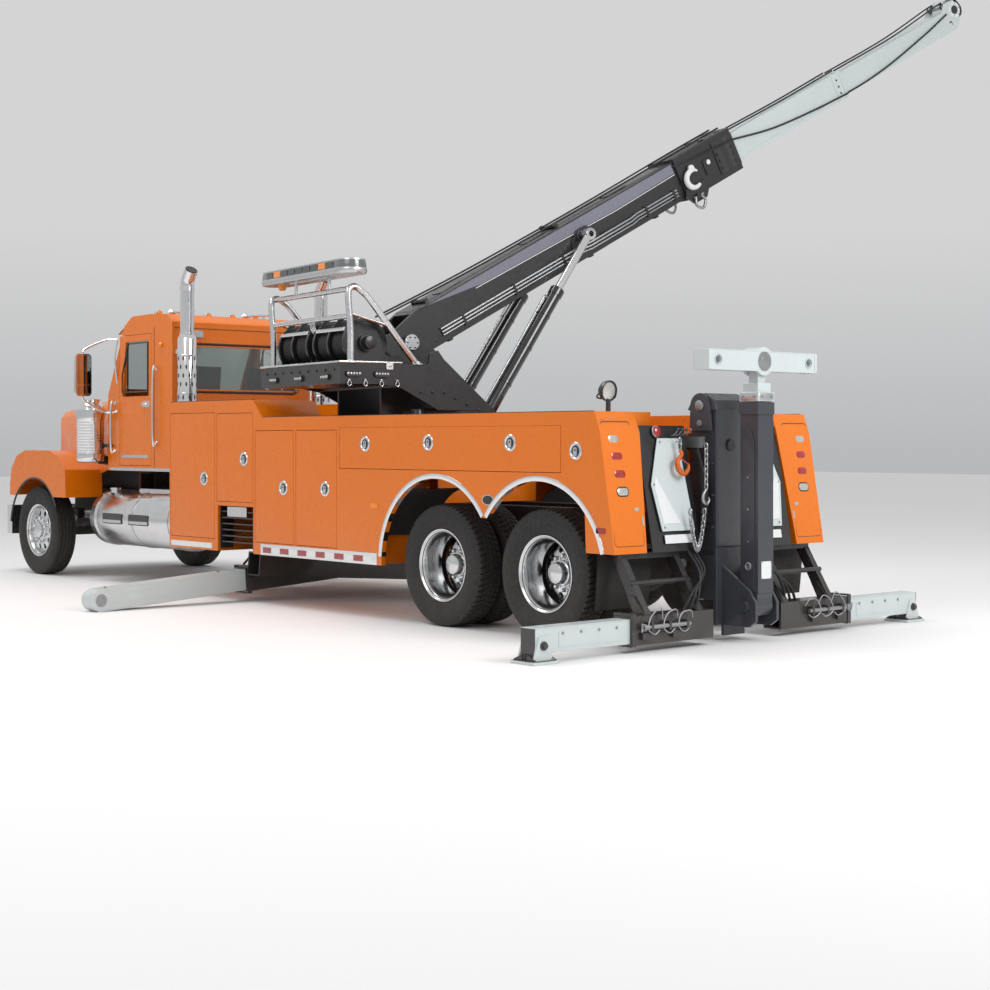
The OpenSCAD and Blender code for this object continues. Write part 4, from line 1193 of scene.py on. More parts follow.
# ---- cab
@dataclass
class Cab:
    """Trim of the cab: visor, roof lamps, window frames, handles, mirrors, stacks and air cleaners.

    Attributes:
        half: Half width of the cab.
        rear: Rear face of the cab.
        roof: Height of the roof.
        stack_x: Place of the exhaust stacks.
        stack_y: Their distance from the middle.
        cleaner: Place of the air cleaners: X, Y and radius.
        mirror_x: Place of the mirrors.
    """

    half: float = 0.93
    rear: float = 5.77
    roof: float = 3.08
    stack_x: float = 5.5
    stack_y: float = 0.9
    cleaner: tuple[float, float, float] = (7.43, 1.06, 0.165)
    mirror_x: float = 7.11

    def build(self) -> None:
        """Makes all the pieces."""
        self._roof_lamps()
        self._back()
        for name, place in (("left", TRUCK), ("right", TRUCK.mirrored())):
            self._door_trim(place, name)
        self._mirrors()
        self._stacks()
        self._cleaners()

    def _roof_lamps(self) -> None:
        """Five bullet marker lamps, a pair of horns and a sun visor over the windscreen."""
        lamps = Shape()
        for y in (-0.66, -0.33, 0, 0.33, 0.66):
            profile = [(0, 0), (0, 0.044), (0.03, 0.042), (0.075, 0.032), (0.1, 0.016), (0.105, 0)]
            lamps.ink(0).revolve(profile, (6.52, y, self.roof + 0.03), (1, 0, 0.06), 20)
            lamps.ink(1).revolve([(0, 0), (-0.01, 0.034), (-0.014, 0)], (6.52, y, self.roof + 0.03),
                (1, 0, 0.06), 20)
            lamps.ink(0).block((6.5, y - 0.022, self.roof - 0.022), (6.56, y + 0.022, self.roof + 0.012))
        for y in (-0.5, 0.5):
            path = smooth_path([(6.02, y, self.roof + 0.035), (6.2, y, self.roof + 0.045),
                (6.44, y, self.roof + 0.048)], 6)
            lamps.ink(0).tube(path, np.linspace(0.014, 0.016, len(path)), 12)
            lamps.revolve([(0, 0.016), (0.05, 0.024), (0.08, 0.046), (0.083, 0.05), (0.08, 0.044),
                (0.04, 0)], (6.43, y, self.roof + 0.048), (1, 0, 0), 20)
            lamps.block((6.1, y - 0.012, self.roof - 0.02), (6.13, y + 0.012, self.roof + 0.04))
        lamps.build("roof_lamps_and_horns", "chassis", (CHROME, AMBER), 0.002)
        visor = Shape()
        y = np.linspace(-0.9, 0.9, 25)
        t = np.linspace(0, 1, 7)
        droop = 0.03 * (y / 0.9) ** 2
        x = 6.8 + 0.3 * t[:, None] - 0.06 * (y[None, :] / 0.9) ** 2
        z = 3.035 - 0.115 * t[:, None] ** 1.4 - droop[None, :]
        top = np.stack([x, np.broadcast_to(y, x.shape), z], -1)
        under = top - np.array([0, 0, 0.012])
        visor.surface(np.concatenate([top, under[::-1]]), loop_u=True)
        visor.build("sun_visor", "chassis", CHROME)

    def _back(self) -> None:
        """Rubber frame round the rear window, seams and grab rails of the back wall."""
        x = self.rear - 0.004
        trim = Shape()
        ring = rounded_box(1.5, 0.54, 0.07, 6)
        path = np.stack([np.full(len(ring), x), ring[:, 0], ring[:, 1] + 2.46], 1)
        trim.tube(path, 0.014, 8, loop=True)
        for y in (-0.86, 0.86):
            trim.ink(1).bend([(x, y, 1.5), (x - 0.05, y, 1.53), (x - 0.05, y, 1.95), (x, y, 1.98)], 0.012,
                10, 6)
        for z in (1.52, 2.06, 2.9):
            trim.ink(0).block((x - 0.002, -0.9, z), (x + 0.004, 0.9, z + 0.006))
        for y in (-0.62, 0.62):
            trim.ink(1).block((x - 0.035, y - 0.07, 2.8), (x + 0.002, y + 0.07, 2.875), 0.02, YZ)
            trim.ink(2).block((x - 0.04, y - 0.058, 2.812), (x - 0.034, y + 0.058, 2.863), 0.018, YZ)
        trim.build("cab_back_trim", "chassis", (BLACK, CHROME, LENS), 0.001)

    def _door_trim(self, place: Place, name: str) -> None:
        """Door handle, grab bar, window frame, vent post and step trim of one side.

        Args:
            place: Axes of the side.
            name: Side, left or right.
        """
        body = f"cab_door_{name}"
        y = self.half
        trim = Shape(place)
        trim.block((6.27, y - 0.002, 2.02), (6.44, y + 0.006, 2.09), 0.03, XZ)
        trim.bend([(6.29, y, 2.055), (6.31, y + 0.035, 2.055), (6.4, y + 0.035, 2.055), (6.42, y, 2.055)],
            0.01, 10, 6)
        outline = np.array([[6.31, 2.2], [6.9, 2.2], [6.9, 2.4], [6.76, 2.76], [6.31, 2.76]])
        path = np.stack([outline[:, 0], np.full(5, y + 0.001), outline[:, 1]], 1)
        trim.ink(1).bend(path, 0.011, 8, 1, True)
        trim.block((6.775, y - 0.012, 2.21), (6.79, y + 0.006, 2.74))
        trim.ink(0).block((6.3, y - 0.001, 1.44), (6.92, y + 0.005, 1.475))
        trim.build(f"door_trim_{name}", body, (CHROME, BLACK), 0.001)
        side = Shape(place)
        side.bend([(7.06, y, 1.52), (7.06, y + 0.06, 1.54), (7.06, y + 0.06, 2.06), (7.06, y, 2.08)],
            0.014, 12, 6)
        side.bend([(6.1, y, 1.62), (6.1, y + 0.055, 1.64), (6.1, y + 0.055, 2.42), (6.1, y, 2.44)], 0.014,
            12, 6)
        for z in (1.52, 2.08):
            side.block((7.035, y - 0.001, z - 0.02), (7.085, y + 0.012, z + 0.02), 0.015, XZ)
        side.ink(2).block((6.165, y - 0.001, 1.34), (6.171, y + 0.003, 2.93))
        side.ink(0).block((5.8, y - 0.001, 1.29), (7.2, y + 0.006, 1.325))
        side.ink(1).ball((6, y + 0.012, 2.72), 0.028, 14)
        side.build(f"cab_side_trim_{name}", "chassis", (CHROME, AMBER, BLACK), 0.001)

    def _mirrors(self) -> None:
        """Mirror heads with a bright shell and a glass, on two looped arms each."""
        shape = Shape()
        for s in (-1, 1):
            low, high = (self.mirror_x - 0.038, 1.232), (self.mirror_x + 0.038, 1.438)
            centre = (low[1] + high[1]) / 2 * s
            outline = rounded_box(0.205, 0.495, 0.045) + np.array([centre, 2.4])
            shape.ink(0)
            rings = []
            for x, grow in ((self.mirror_x - 0.036, 0.99), (self.mirror_x - 0.02, 1),
                    (self.mirror_x + 0.012, 0.97), (self.mirror_x + 0.03, 0.84),
                    (self.mirror_x + 0.038, 0.55)):
                flat = (outline - [centre, 2.4]) * grow + [centre, 2.4]
                rings.append(np.stack([np.full(len(flat), x), flat[:, 0], flat[:, 1]], 1))
            shape.surface(np.stack(rings), loop_v=True, caps=True)
            glass = rounded_box(0.18, 0.33, 0.03) + np.array([centre, 2.46])
            shape.ink(1).prism(glass, YZ, self.mirror_x - 0.039, self.mirror_x - 0.035)
            small = rounded_box(0.18, 0.1, 0.03) + np.array([centre, 2.225])
            shape.prism(small, YZ, self.mirror_x - 0.039, self.mirror_x - 0.035)
            for z, zc in ((2.7, 2.82), (2.1, 1.98)):
                arm = smooth_path([(7.02, s * 0.93, zc), (self.mirror_x, s * 1.05, zc - 0.01),
                    (self.mirror_x, s * 1.3, z), (self.mirror_x, centre,
                    2.4 + (0.235 if z > 2.4 else -0.235))], 8)
                shape.ink(0).tube(arm, 0.013, 12)
            shape.bend([(7.02, s * 0.93, 2.82), (7.02, s * 0.96, 2.6), (7.02, s * 0.93, 2.3)], 0.011, 10, 6)
        shape.build("mirror_heads", "chassis", (CHROME, MIRROR), replaces=["cab_mirrors"])

    def _stacks(self) -> None:
        """Exhaust stacks: guard with painted-shade slots, bright pipe, clamps and a mitred elbow that leans
        back.
        """
        shape = Shape()
        for s in (-1, 1):
            x, y = self.stack_x, s * self.stack_y
            shape.ink(0).revolve([(0, 0), (0, 0.085), (0.03, 0.1), (0.06, 0.108), (1.6, 0.108),
                (1.63, 0.1), (1.66, 0.082)], (x, y, 1.15), (0, 0, 1), 40)
            for z in (1.3, 1.72, 2.14, 2.56):
                shape.revolve([(0, 0.107), (0.004, 0.113), (0.022, 0.113), (0.026, 0.107)], (x, y, z),
                    (0, 0, 1), 40)
            # slots: black ovals laid on the guard, painted shade in place of real openings
            shape.ink(1)
            for row in range(12):
                z = 1.4 + row * 0.095 + (0.05 if row > 3 else 0) + (0.05 if row > 7 else 0)
                for k in range(10):
                    a = (k + 0.5 * (row % 2)) * TAU / 10
                    centre = np.array([x + 0.1085 * cos(a), y + 0.1085 * sin(a), z])
                    out = np.array([cos(a), sin(a), 0])
                    across = np.array([-sin(a), cos(a), 0])
                    ring = centre + 0.01 * circle(1, 10)[:, :1] * across + circle(1, 10)[:,
                        1:] * np.array([0, 0, 0.026])
                    shape.surface(np.stack([ring - 0.004 * out, ring + 0.0006 * out]), loop_v=True, caps=True)
            shape.ink(0)
            path = np.array([(x, y, 2.78), (x, y, 3.36), (x - 0.004, y, 3.395), (x - 0.02, y, 3.425),
                (x - 0.09, y, 3.52)])
            shape.tube(path, 0.078, 32)
            shape.ink(1).revolve([(0, 0), (0.001, 0.066)], (x - 0.0925, y, 3.5235), (-0.6, 0, 0.8), 28)
            shape.ink(0)
            for z in (2.8, 3.3):
                shape.revolve([(0, 0.077), (0.002, 0.085), (0.03, 0.085), (0.032, 0.077)], (x, y, z),
                    (0, 0, 1), 36)
            for z in (1.53, 2.63):
                shape.ink(0).block((x, y - s * 0.012 - 0.02, z - 0.025),
                    (5.772, y - s * 0.012 + 0.02, z + 0.025))
        shape.build("stack_pipes", "chassis", (CHROME, BLACK), replaces=["exhaust_stacks"])

    def _cleaners(self) -> None:
        """Air cleaners: a ribbed canister with bands, a domed cap, a rain hood and its bracket."""
        shape = Shape()
        x, y0, r = self.cleaner
        for s in (-1, 1):
            y = s * y0
            z = np.linspace(0.1, 0.5, 49)
            ribs = r - 0.006 + 0.0035 * np.cos((z - 0.1) / 0.4 * TAU * 12)
            profile = [(0, 0), (0, r - 0.03), (0.015, r - 0.008), (0.03, r), (0.07, r)]
            profile += list(zip(z, ribs))
            profile += [(0.53, r), (0.57, r), (0.572, r + 0.016), (0.62, r + 0.016), (0.624, r),
                (0.66, r - 0.006), (0.69, r - 0.03), (0.7, 0.128), (0.745, 0.126), (0.765, 0.1), (0.77, 0)]
            shape.ink(0).revolve(profile, (x, y, 1.38), (0, 0, 1), 48)
            for z1 in (1.46, 1.92):
                shape.revolve([(0, r - 0.002), (0.002, r + 0.005), (0.026, r + 0.005), (0.028, r - 0.002)],
                    (x, y, z1), (0, 0, 1), 48)
            shape.ink(1).block((7.13, y - s * 0.12 - 0.03, 1.56), (7.43, y - s * 0.12 + 0.03, 1.6))
            shape.bend([(x - 0.02, y - s * 0.1, 1.42), (x - 0.02, y - s * 0.3, 1.4),
                (x, y - s * 0.42, 1.44)], 0.055, 16, 6)
        shape.build("air_cleaner_cans", "chassis", (CHROME, BLACK), replaces=["air_cleaners"])


# ---- hood and front end
@dataclass
class Nose:
    """Hood dressing, headlamps, grille, fender edges, bumper lamps and fuel tanks.

    Attributes:
        wheel_x: Front axle.
        axle_z: Its height.
        arch: Radius of a front wheel arch.
        fender: Outer face of a fender.
        grille_x: Front face of the grille.
        grille_half: Half width of the grille.
        grille_z: Bottom and top of the grille.
        tank: Fuel tank: Y, Z, radius.
        tank_x: Rear and front of a tank.
    """

    wheel_x: float = 8.55
    axle_z: float = 0.54
    arch: float = 0.64
    fender: float = 1.235
    grille_x: float = 9.12
    grille_half: float = 0.54
    grille_z: tuple[float, float] = (1.06, 1.93)
    tank: tuple[float, float, float] = (0.85, 0.74, 0.32)
    tank_x: tuple[float, float] = (5.3, 7.27)

    def build(self) -> None:
        """Makes all the pieces."""
        self._hood()
        self._grille()
        self._bumper()
        self._tanks()

    def _hood(self) -> None:
        """Ridge, painted-shade side vents, hood latches, fender lips and the lamp pods with their eyebrows.
        """
        trim = Shape()
        ridge = np.stack([np.linspace(7.3, 9.04, 20), np.zeros(20),
            np.interp(np.linspace(7.3, 9.04, 20), (7.252, 9.09), (2.172, 2.04))], 1)
        trim.tube(ridge, 0.011, 10)
        for s in (-1, 1):
            a = np.linspace(radians(8), radians(152), 40)
            lip = np.stack([self.wheel_x + (self.arch + 0.004) * np.cos(a),
                np.full(40, s * (self.fender - 0.004)), self.axle_z + (self.arch + 0.004) * np.sin(a)], 1)
            trim.ink(2).tube(lip, 0.012, 8)
            # side vents: black slits laid on the hood, painted shade in place of openings
            for k in range(6):
                x = 8.02 + 0.055 * k
                y = s * float(np.interp(x, (7.252, 9.09), (0.83, 0.6)))
                trim.ink(2).block((x, y, 1.62), (x + 0.03, y + s * 0.004, 1.8))
            x, y = 8.93, s * 0.93
            trim.ink(0).revolve([(-0.22, 0), (-0.2, 0.05), (-0.12, 0.105), (0, 0.128), (0.04, 0.13),
                (0.05, 0.122), (0.045, 0.112)], (x, y, 1.42), (1, 0, 0), 36)
            trim.ink(1).revolve([(0.045, 0.113), (0.062, 0.08), (0.07, 0.04), (0.072, 0)], (x, y, 1.42),
                (1, 0, 0), 36)
            trim.ink(0).rod((x - 0.06, y, 1.3), (x - 0.06, y - s * 0.1, 1.2), 0.022)
            trim.ink(3).ball((8.72, s * 1.16, 1.5), 0.03, 14)
            trim.ink(0).block((7.36, s * 0.83 - 0.012, 1.7), (7.42, s * 0.83 + 0.012, 1.84))
        trim.build("hood_trim", "hood", (CHROME, LENS, BLACK, AMBER), 0.001)

    def _grille(self) -> None:
        """Grille: a bright surround with rolled edges, upright bars with rounded fronts and a dark screen."""
        shape = Shape()
        x, half, (z0, z1) = self.grille_x, self.grille_half, self.grille_z
        ring = rounded_box(2 * half - 0.05, z1 - z0 - 0.05, 0.05, 6) + np.array([0, (z0 + z1) / 2])
        path = np.stack([np.full(len(ring), x - 0.028), ring[:, 0], ring[:, 1]], 1)
        shape.tube(path, 0.025, 14, loop=True)
        for y in np.linspace(-0.46, 0.46, 13):
            shape.tube([(x - 0.024, y, z0 + 0.035), (x - 0.018, y, (z0 + z1) / 2),
                (x - 0.024, y, z1 - 0.035)], 0.014, 10)
        for z in (z0 + 0.29, z0 + 0.58):
            shape.block((x - 0.045, -half + 0.03, z - 0.006), (x - 0.033, half - 0.03, z + 0.006))
        shape.ink(1).block((x - 0.055, -half + 0.02, z0 + 0.02), (x - 0.05, half - 0.02, z1 - 0.02))
        shape.build("grille_bars", "hood", (CHROME, BLACK))

    def _bumper(self) -> None:
        """Fog lamps, their rims and a blank plate on the bumper."""
        shape = Shape()
        for y in (-0.82, -0.58, 0.58, 0.82):
            shape.ink(0).revolve([(-0.02, 0), (-0.02, 0.07), (-0.002, 0.074), (0, 0.068), (-0.004, 0.06)],
                (9.4, y, 0.64), (1, 0, 0), 28)
            shape.ink(1).revolve([(-0.006, 0.061), (-0.002, 0.04), (0, 0)], (9.4, y, 0.64), (1, 0, 0), 28)
        shape.ink(2).block((9.392, -0.16, 0.6), (9.399, 0.16, 0.74), 0.012, YZ)
        shape.build("bumper_lamps", "chassis", (CHROME, LENS, GREY))

    def _tanks(self) -> None:
        """Tanks: a polished shell with rolled ends, straps with buckles, a filler neck and ribbed steps."""
        shape = Shape()
        y0, z0, r = self.tank
        x0, x1 = self.tank_x
        for s in (-1, 1):
            y = s * y0
            profile = [(0, 0), (0.004, r - 0.09), (0.006, r - 0.035), (0.016, r - 0.012), (0.034, r),
                (x1 - x0 - 0.034, r), (x1 - x0 - 0.016, r - 0.012), (x1 - x0 - 0.006, r - 0.035),
                (x1 - x0 - 0.004, r - 0.09), (x1 - x0, 0)]
            shape.ink(0).revolve(profile, (x0, y, z0), (1, 0, 0), 72)
            for x in (x0 + 0.15, x0 + 0.95, x1 - 0.2):
                shape.ink(0).revolve([(0, r - 0.002), (0.003, r + 0.007), (0.057, r + 0.007),
                    (0.06, r - 0.002)], (x, y, z0), (1, 0, 0), 72)
                shape.ink(2).block((x + 0.012, y + s * 0.19 - 0.018, z0 + 0.235),
                    (x + 0.048, y + s * 0.19 + 0.018, z0 + 0.275))
                shape.ink(1).block((x, s * 0.35, 0.99), (x + 0.06, y - s * (r - 0.06), 1.25))
            for x in (5.88, 6.48):
                shape.ink(1).block((x, y + s * 0.295 - 0.032, z0 - 0.055),
                    (x + 0.44, y + s * 0.295 + 0.032, z0 + 0.065), 0.02, XZ)
                shape.ink(0).block((x + 0.012, y + s * 0.328, z0 - 0.043),
                    (x + 0.428, y + s * 0.26, z0 - 0.012))
                for k in range(10):
                    shape.ink(2).block((x + 0.03 + 0.04 * k, y + s * 0.3 - 0.028, z0 - 0.012),
                        (x + 0.045 + 0.04 * k, y + s * 0.3 + 0.028, z0 - 0.006))
            for x in (5.42, 7.02):
                shape.ink(0).revolve([(0, 0.055), (0.035, 0.055), (0.038, 0.064), (0.06, 0.062),
                    (0.064, 0)], (x, y + s * 0.1, z0 + r - 0.03), (0, 0, 1), 28)
            path = smooth_path([(x0 + 0.02, y - s * 0.05, z0 - 0.2), (x0 - 0.06, y - s * 0.1, z0 - 0.15),
                (x0 - 0.08, y - s * 0.3, z0 + 0.05)], 6)
            shape.ink(1).tube(path, 0.014, 8)
            shape.ink(2).block((5.8, y - s * 0.02 - 0.1, z0 + r - 0.035),
                (6.5, y - s * 0.02 + 0.1, z0 + r + 0.028), 0.02, XZ)
            for k in range(12):
                shape.ink(1).block((5.83 + 0.055 * k, y - s * 0.02 - 0.085, z0 + r + 0.027),
                    (5.85 + 0.055 * k, y - s * 0.02 + 0.085, z0 + r + 0.031))
        shape.build("tank_shells", "chassis", (POLISHED, BLACK, BRUSHED), replaces=["fuel_tanks"])


# ---- tool body
@dataclass
class ToolBody:
    """Dressing of the orange body: locks, seams, arch strips, reflectors, lamps, steps and mud flaps.

    Attributes:
        half: Outer face of the body.
        doors: Lockers as front edge, rear edge, underside and top.
        upper: The door over the wheels, in the same order.
        locks: Place of each lock along and up the side, with the door that carries it.
        tail: Foot and top of the slanted tail: X and Z of each.
        gap: Half the distance between the tandem axles.
        arch: Radius of the wheel arches.
    """

    half: float = 1.295
    doors: tuple[tuple[float, float, float, float], ...] = ((5.18, 4.29, 0.62, 1.93),
        (4.25, 3.57, 1.01, 1.92), (3.53, 2.85, 0.62, 1.74), (2.81, 2.13, 0.62, 1.74))
    upper: tuple[float, float, float, float] = (2.09, -0.95, 1.375, 1.76)
    locks: tuple[tuple[float, float, int], ...] = ((4.499, 1.241, 1), (3.736, 1.452, 2), (3.025, 1.173, 3),
        (2.323, 1.178, 4), (1.686, 1.607, 0), (0.759, 1.62, 0), (-0.332, 1.618, 0), (-1.121, 1.554, -1))
    tail: tuple[float, float, float, float] = (-1.56, 0.745, -1.37, 1.8)
    gap: float = 0.667
    arch: float = 0.77

    def build(self) -> None:
        """Makes the pieces of both sides."""
        for name, place in (("left", TRUCK), ("right", TRUCK.mirrored())):
            self._locks(place, name)
            self._side(place, name)
            self._tail_lamps(place, name)
            self._flaps(place, name)
        self._work_lamp()
        self._well()

    def _locks(self, place: Place, name: str) -> None:
        """Round bright paddle locks: a stepped ring with a sunk cup and a paddle, each on its own door.

        Args:
            place: Axes of the side.
            name: Side, left or right.
        """
        for i, (x, z, door) in enumerate(self.locks):
            body = {0: f"upper_door_{name}", -1: "chassis"}.get(door, f"locker_door_{name}_{door}")
            lock = Shape(place)
            lock.revolve([(-0.004, 0), (-0.004, 0.07), (0.002, 0.072), (0.006, 0.068), (0.007, 0.056),
                (0.002, 0.05), (0.001, 0)], (x, self.half, z), (0, 1, 0), 40)
            lock.ink(1).revolve([(0.0012, 0.047), (0.0035, 0.045), (0.0035, 0)], (x, self.half, z),
                (0, 1, 0), 32)
            lock.ink(0).block((x - 0.022, self.half - 0.001, z - 0.04),
                (x + 0.022, self.half + 0.008, z + 0.03), 0.014, XZ)
            lock.ink(1).revolve([(0, 0.01), (0.0092, 0.009), (0.0092, 0)], (x, self.half, z + 0.008),
                (0, 1, 0), 14)
            lock.build(f"lock_{name}_{i}", body, (CHROME, BLACK))

    def _side(self, place: Place, name: str) -> None:
        """Seals round the doors, bright strips over the wheels, reflectors, markers and the step.

        Args:
            place: Axes of the side.
            name: Side, left or right.
        """
        y = self.half
        trim = Shape(place)
        for x1, x0, z0, z1 in (*self.doors, self.upper):
            ring = rounded_box(x1 - x0 - 0.003, z1 - z0 - 0.003, 0.012,
                3) + np.array([(x0 + x1) / 2, (z0 + z1) / 2])
            path = np.stack([ring[:, 0], np.full(len(ring), y - 0.01), ring[:, 1]], 1)
            trim.ink(0).tube(path, 0.0024, 6, loop=True)
        for x, a0, a1 in ((self.gap, 3, 145), (-self.gap, 35, 165)):
            a = np.radians(np.linspace(a0, a1, 56))
            inner, outer = self.arch - 0.004, self.arch + 0.04
            rings = [np.stack([x + r * np.cos(a), np.full(56, yy), 0.54 + r * np.sin(a)], 1) for r,
                yy in ((inner, y - 0.05), (inner, y + 0.004), (inner + 0.006, y + 0.006),
                (outer, y + 0.006), (outer + 0.003, y - 0.002))]
            trim.ink(1).surface(np.stack(rings))
        # bright rub rail along the foot of the side, with white and red reflecting strips
        trim.ink(1).block((1.5, y - 0.004, 0.5), (3.42, y + 0.006, 0.608), 0.006, XZ)
        for k, x in enumerate(np.arange(1.56, 3.32, 0.152)):
            trim.ink(3 if k % 2 else 2).block((x, y + 0.004, 0.522), (x + 0.145, y + 0.0075, 0.578))
        trim.ink(2).block((4.34, y - 0.002, 0.52), (5.16, y + 0.004, 0.575))
        trim.ink(3).block((-1.46, y - 0.002, 0.905), (-1.36, y + 0.006, 0.95), 0.012, XZ)
        trim.ink(4).block((1.49, y - 0.002, 1.02), (1.6, y + 0.006, 1.065), 0.012, XZ)
        # blank oval badge between the wheels
        badge = circle(1, 28) * np.array([0.078, 0.045]) + np.array([-0.051, 1.135])
        trim.ink(1).prism(badge, XZ, y - 0.001, y + 0.004)
        trim.ink(0).prism((badge - [-0.051, 1.135]) * 0.84 + [-0.051, 1.135], XZ, y + 0.003, y + 0.0052)
        # louvred step below the second locker
        for k in range(7):
            z = 0.58 + 0.062 * k
            tread = [(y - 0.16, z), (y - 0.03, z + 0.012), (y - 0.03, z + 0.026), (y - 0.16, z + 0.026)]
            trim.ink(0).prism(tread, YZ, 3.6, 4.2)
        trim.ink(0).block((3.585, y - 0.17, 0.53), (3.6, y - 0.02, 1))
        trim.block((4.2, y - 0.17, 0.53), (4.215, y - 0.02, 1))
        trim.ink(1).block((3.72, y - 0.028, 0.86), (4.08, y - 0.022, 0.96), 0.01, XZ)
        # edge strip along the top of the side, and the sloping front of the tower
        trim.ink(0).block((-1.3, y - 0.03, 1.868), (3.38, y - 0.004, 1.876))
        trim.block((3.58, y - 0.03, 2.048), (5.19, y - 0.004, 2.056))
        trim.build(f"body_trim_{name}", "chassis", (BLACK, CHROME, WHITE_TAPE, RED_LENS, AMBER))

    def _tail_place(self, place: Place) -> Place:
        """Axes on the slanted tail: local Z up the slope and local X out of it to the rear.

        Args:
            place: Axes of the side.

        Returns:
            Axes of the slanted face.
        """
        x0, z0, x1, z1 = self.tail
        angle = atan2(x1 - x0, z1 - z0)
        turn = np.array([[-cos(angle), 0, sin(angle)], [0, 1, 0], [sin(angle), 0, cos(angle)]])
        return place.inner(turn, (x0, 0, z0))

    def _tail_lamps(self, place: Place, name: str) -> None:
        """Four stacked tail lamps in bright surrounds, with the marker and the seam of the tail door.

        Args:
            place: Axes of the side.
            name: Side, left or right.
        """
        face = self._tail_place(place)
        shape = Shape(face)
        lamps = ((1.205, 0.92), (1.19, 0.78), (1.18, 0.637), (1.17, 0.495))
        for i, (y, z) in enumerate(lamps):
            oval = rounded_box(0.15, 0.088, 0.043, 8)
            shape.ink(0).prism(oval + [y - 0.05, z], YZ, -0.004, 0.006)
            ring = oval * 0.93
            shape.ink(3).prism(ring + [y - 0.05, z], YZ, 0.005, 0.0075)
            lens = rounded_box(0.124, 0.062, 0.03, 8)
            layers = np.stack([np.stack([np.full(len(lens), h), lens[:, 0] * k + y - 0.05,
                lens[:, 1] * k + z], 1) for h, k in ((0.006, 1), (0.011, 0.96), (0.014, 0.8),
                (0.015, 0.4))])
            shape.ink(1 if i in (0, 3) else 2).surface(layers, loop_v=True, caps=True)
        for z in (0.35, 0.68):
            shape.ink(1).prism(rounded_box(0.05, 0.03, 0.01) + [0.99, z], YZ, -0.002, 0.008)
        ring = rounded_box(0.33, 1, 0.03, 4) + np.array([1.11, 0.56])
        path = np.stack([np.full(len(ring), 0.0005), ring[:, 0], ring[:, 1]], 1)
        shape.ink(3).tube(path, 0.003, 6, loop=True)
        for z in (0.22, 0.9):
            shape.ink(0).block((0, 0.925, z), (0.008, 0.945, z + 0.07))
        shape.build(f"tail_lamps_{name}", "chassis", (CHROME, CLEAR_LENS, RED_LENS, BLACK))

    def _flaps(self, place: Place, name: str) -> None:
        """Mud flaps: slightly curved rubber sheets under a bright bar, and quarter guards ahead.

        Args:
            place: Axes of the side.
            name: Side, left or right.
        """
        shape = Shape(place)
        z = np.linspace(0.29, 0.8, 12)
        x = -1.335 + 0.035 * ((0.8 - z) / 0.5) ** 2
        y = np.linspace(0.66, 1.27, 8)
        front = np.stack([np.broadcast_to(x[:, None], (12, 8)), np.broadcast_to(y, (12, 8)),
            np.broadcast_to(z[:, None], (12, 8))], -1)
        shape.surface(np.concatenate([front, (front - [0.012, 0, 0])[::-1]]), loop_u=True)
        shape.ink(1).block((-1.352, 0.66, 0.76), (-1.34, 1.27, 0.8))
        a = np.radians(np.linspace(20, 88, 14))
        guard = np.stack([1.02 + 0.54 * np.cos(a), np.full(14, 0), 0.54 + 0.66 * np.sin(a)], 1)
        wide = np.linspace(0.62, 1.24, 5)
        sheet = np.stack([np.broadcast_to(guard[:, None, 0], (14, 5)), np.broadcast_to(wide, (14, 5)),
            np.broadcast_to(guard[:, None, 2], (14, 5))], -1)
        shape.ink(0).surface(np.concatenate([sheet, (sheet + [0.006, 0, 0.006])[::-1]]), loop_u=True)
        shape.build(f"mud_flaps_{name}", "chassis", (RUBBER, BRUSHED))

    def _work_lamp(self) -> None:
        """A black round work lamp on a post at the left rear corner."""
        shape = Shape()
        base = np.array([-1.315, 1.12, 1.868])
        shape.rod(base, base + [0, 0, 0.1], 0.02)
        shape.revolve([(-0.075, 0), (-0.07, 0.045), (-0.03, 0.078), (0, 0.086), (0.016, 0.086),
            (0.018, 0.076)], base + [0, 0, 0.165], (-0.94, 0, -0.12), 28)
        shape.ink(1).revolve([(0.006, 0.077), (0.012, 0.04), (0.013, 0)], base + [0, 0, 0.165],
            (-0.94, 0, -0.12), 28)
        shape.ink(0).bend([base + [0, -0.09, 0.16], base + [0.03, -0.09, 0.11], base + [0.03, 0.09, 0.11],
            base + [0, 0.09, 0.16]], 0.007, 8, 6)
        shape.build("work_lamps", "chassis", (BLACK, CLEAR_LENS), 0.001)

    def _well(self) -> None:
        """Things in the open middle of the body: a grey deck plate with rows of lashing studs."""
        shape = Shape()
        shape.block((3.5, -0.54, 1.55), (5.16, 0.54, 1.56))
        for y in (-0.5, -0.3, 0.3, 0.5):
            for x in (3.7, 4.2, 4.7):
                shape.ink(1).revolve([(0, 0), (0, 0.02), (0.008, 0.018), (0.01, 0)], (x, y, 1.56),
                    (0, 0, 1), 10)
        shape.build("deck_fittings", "chassis", (BRUSHED, CHROME), 0.001)


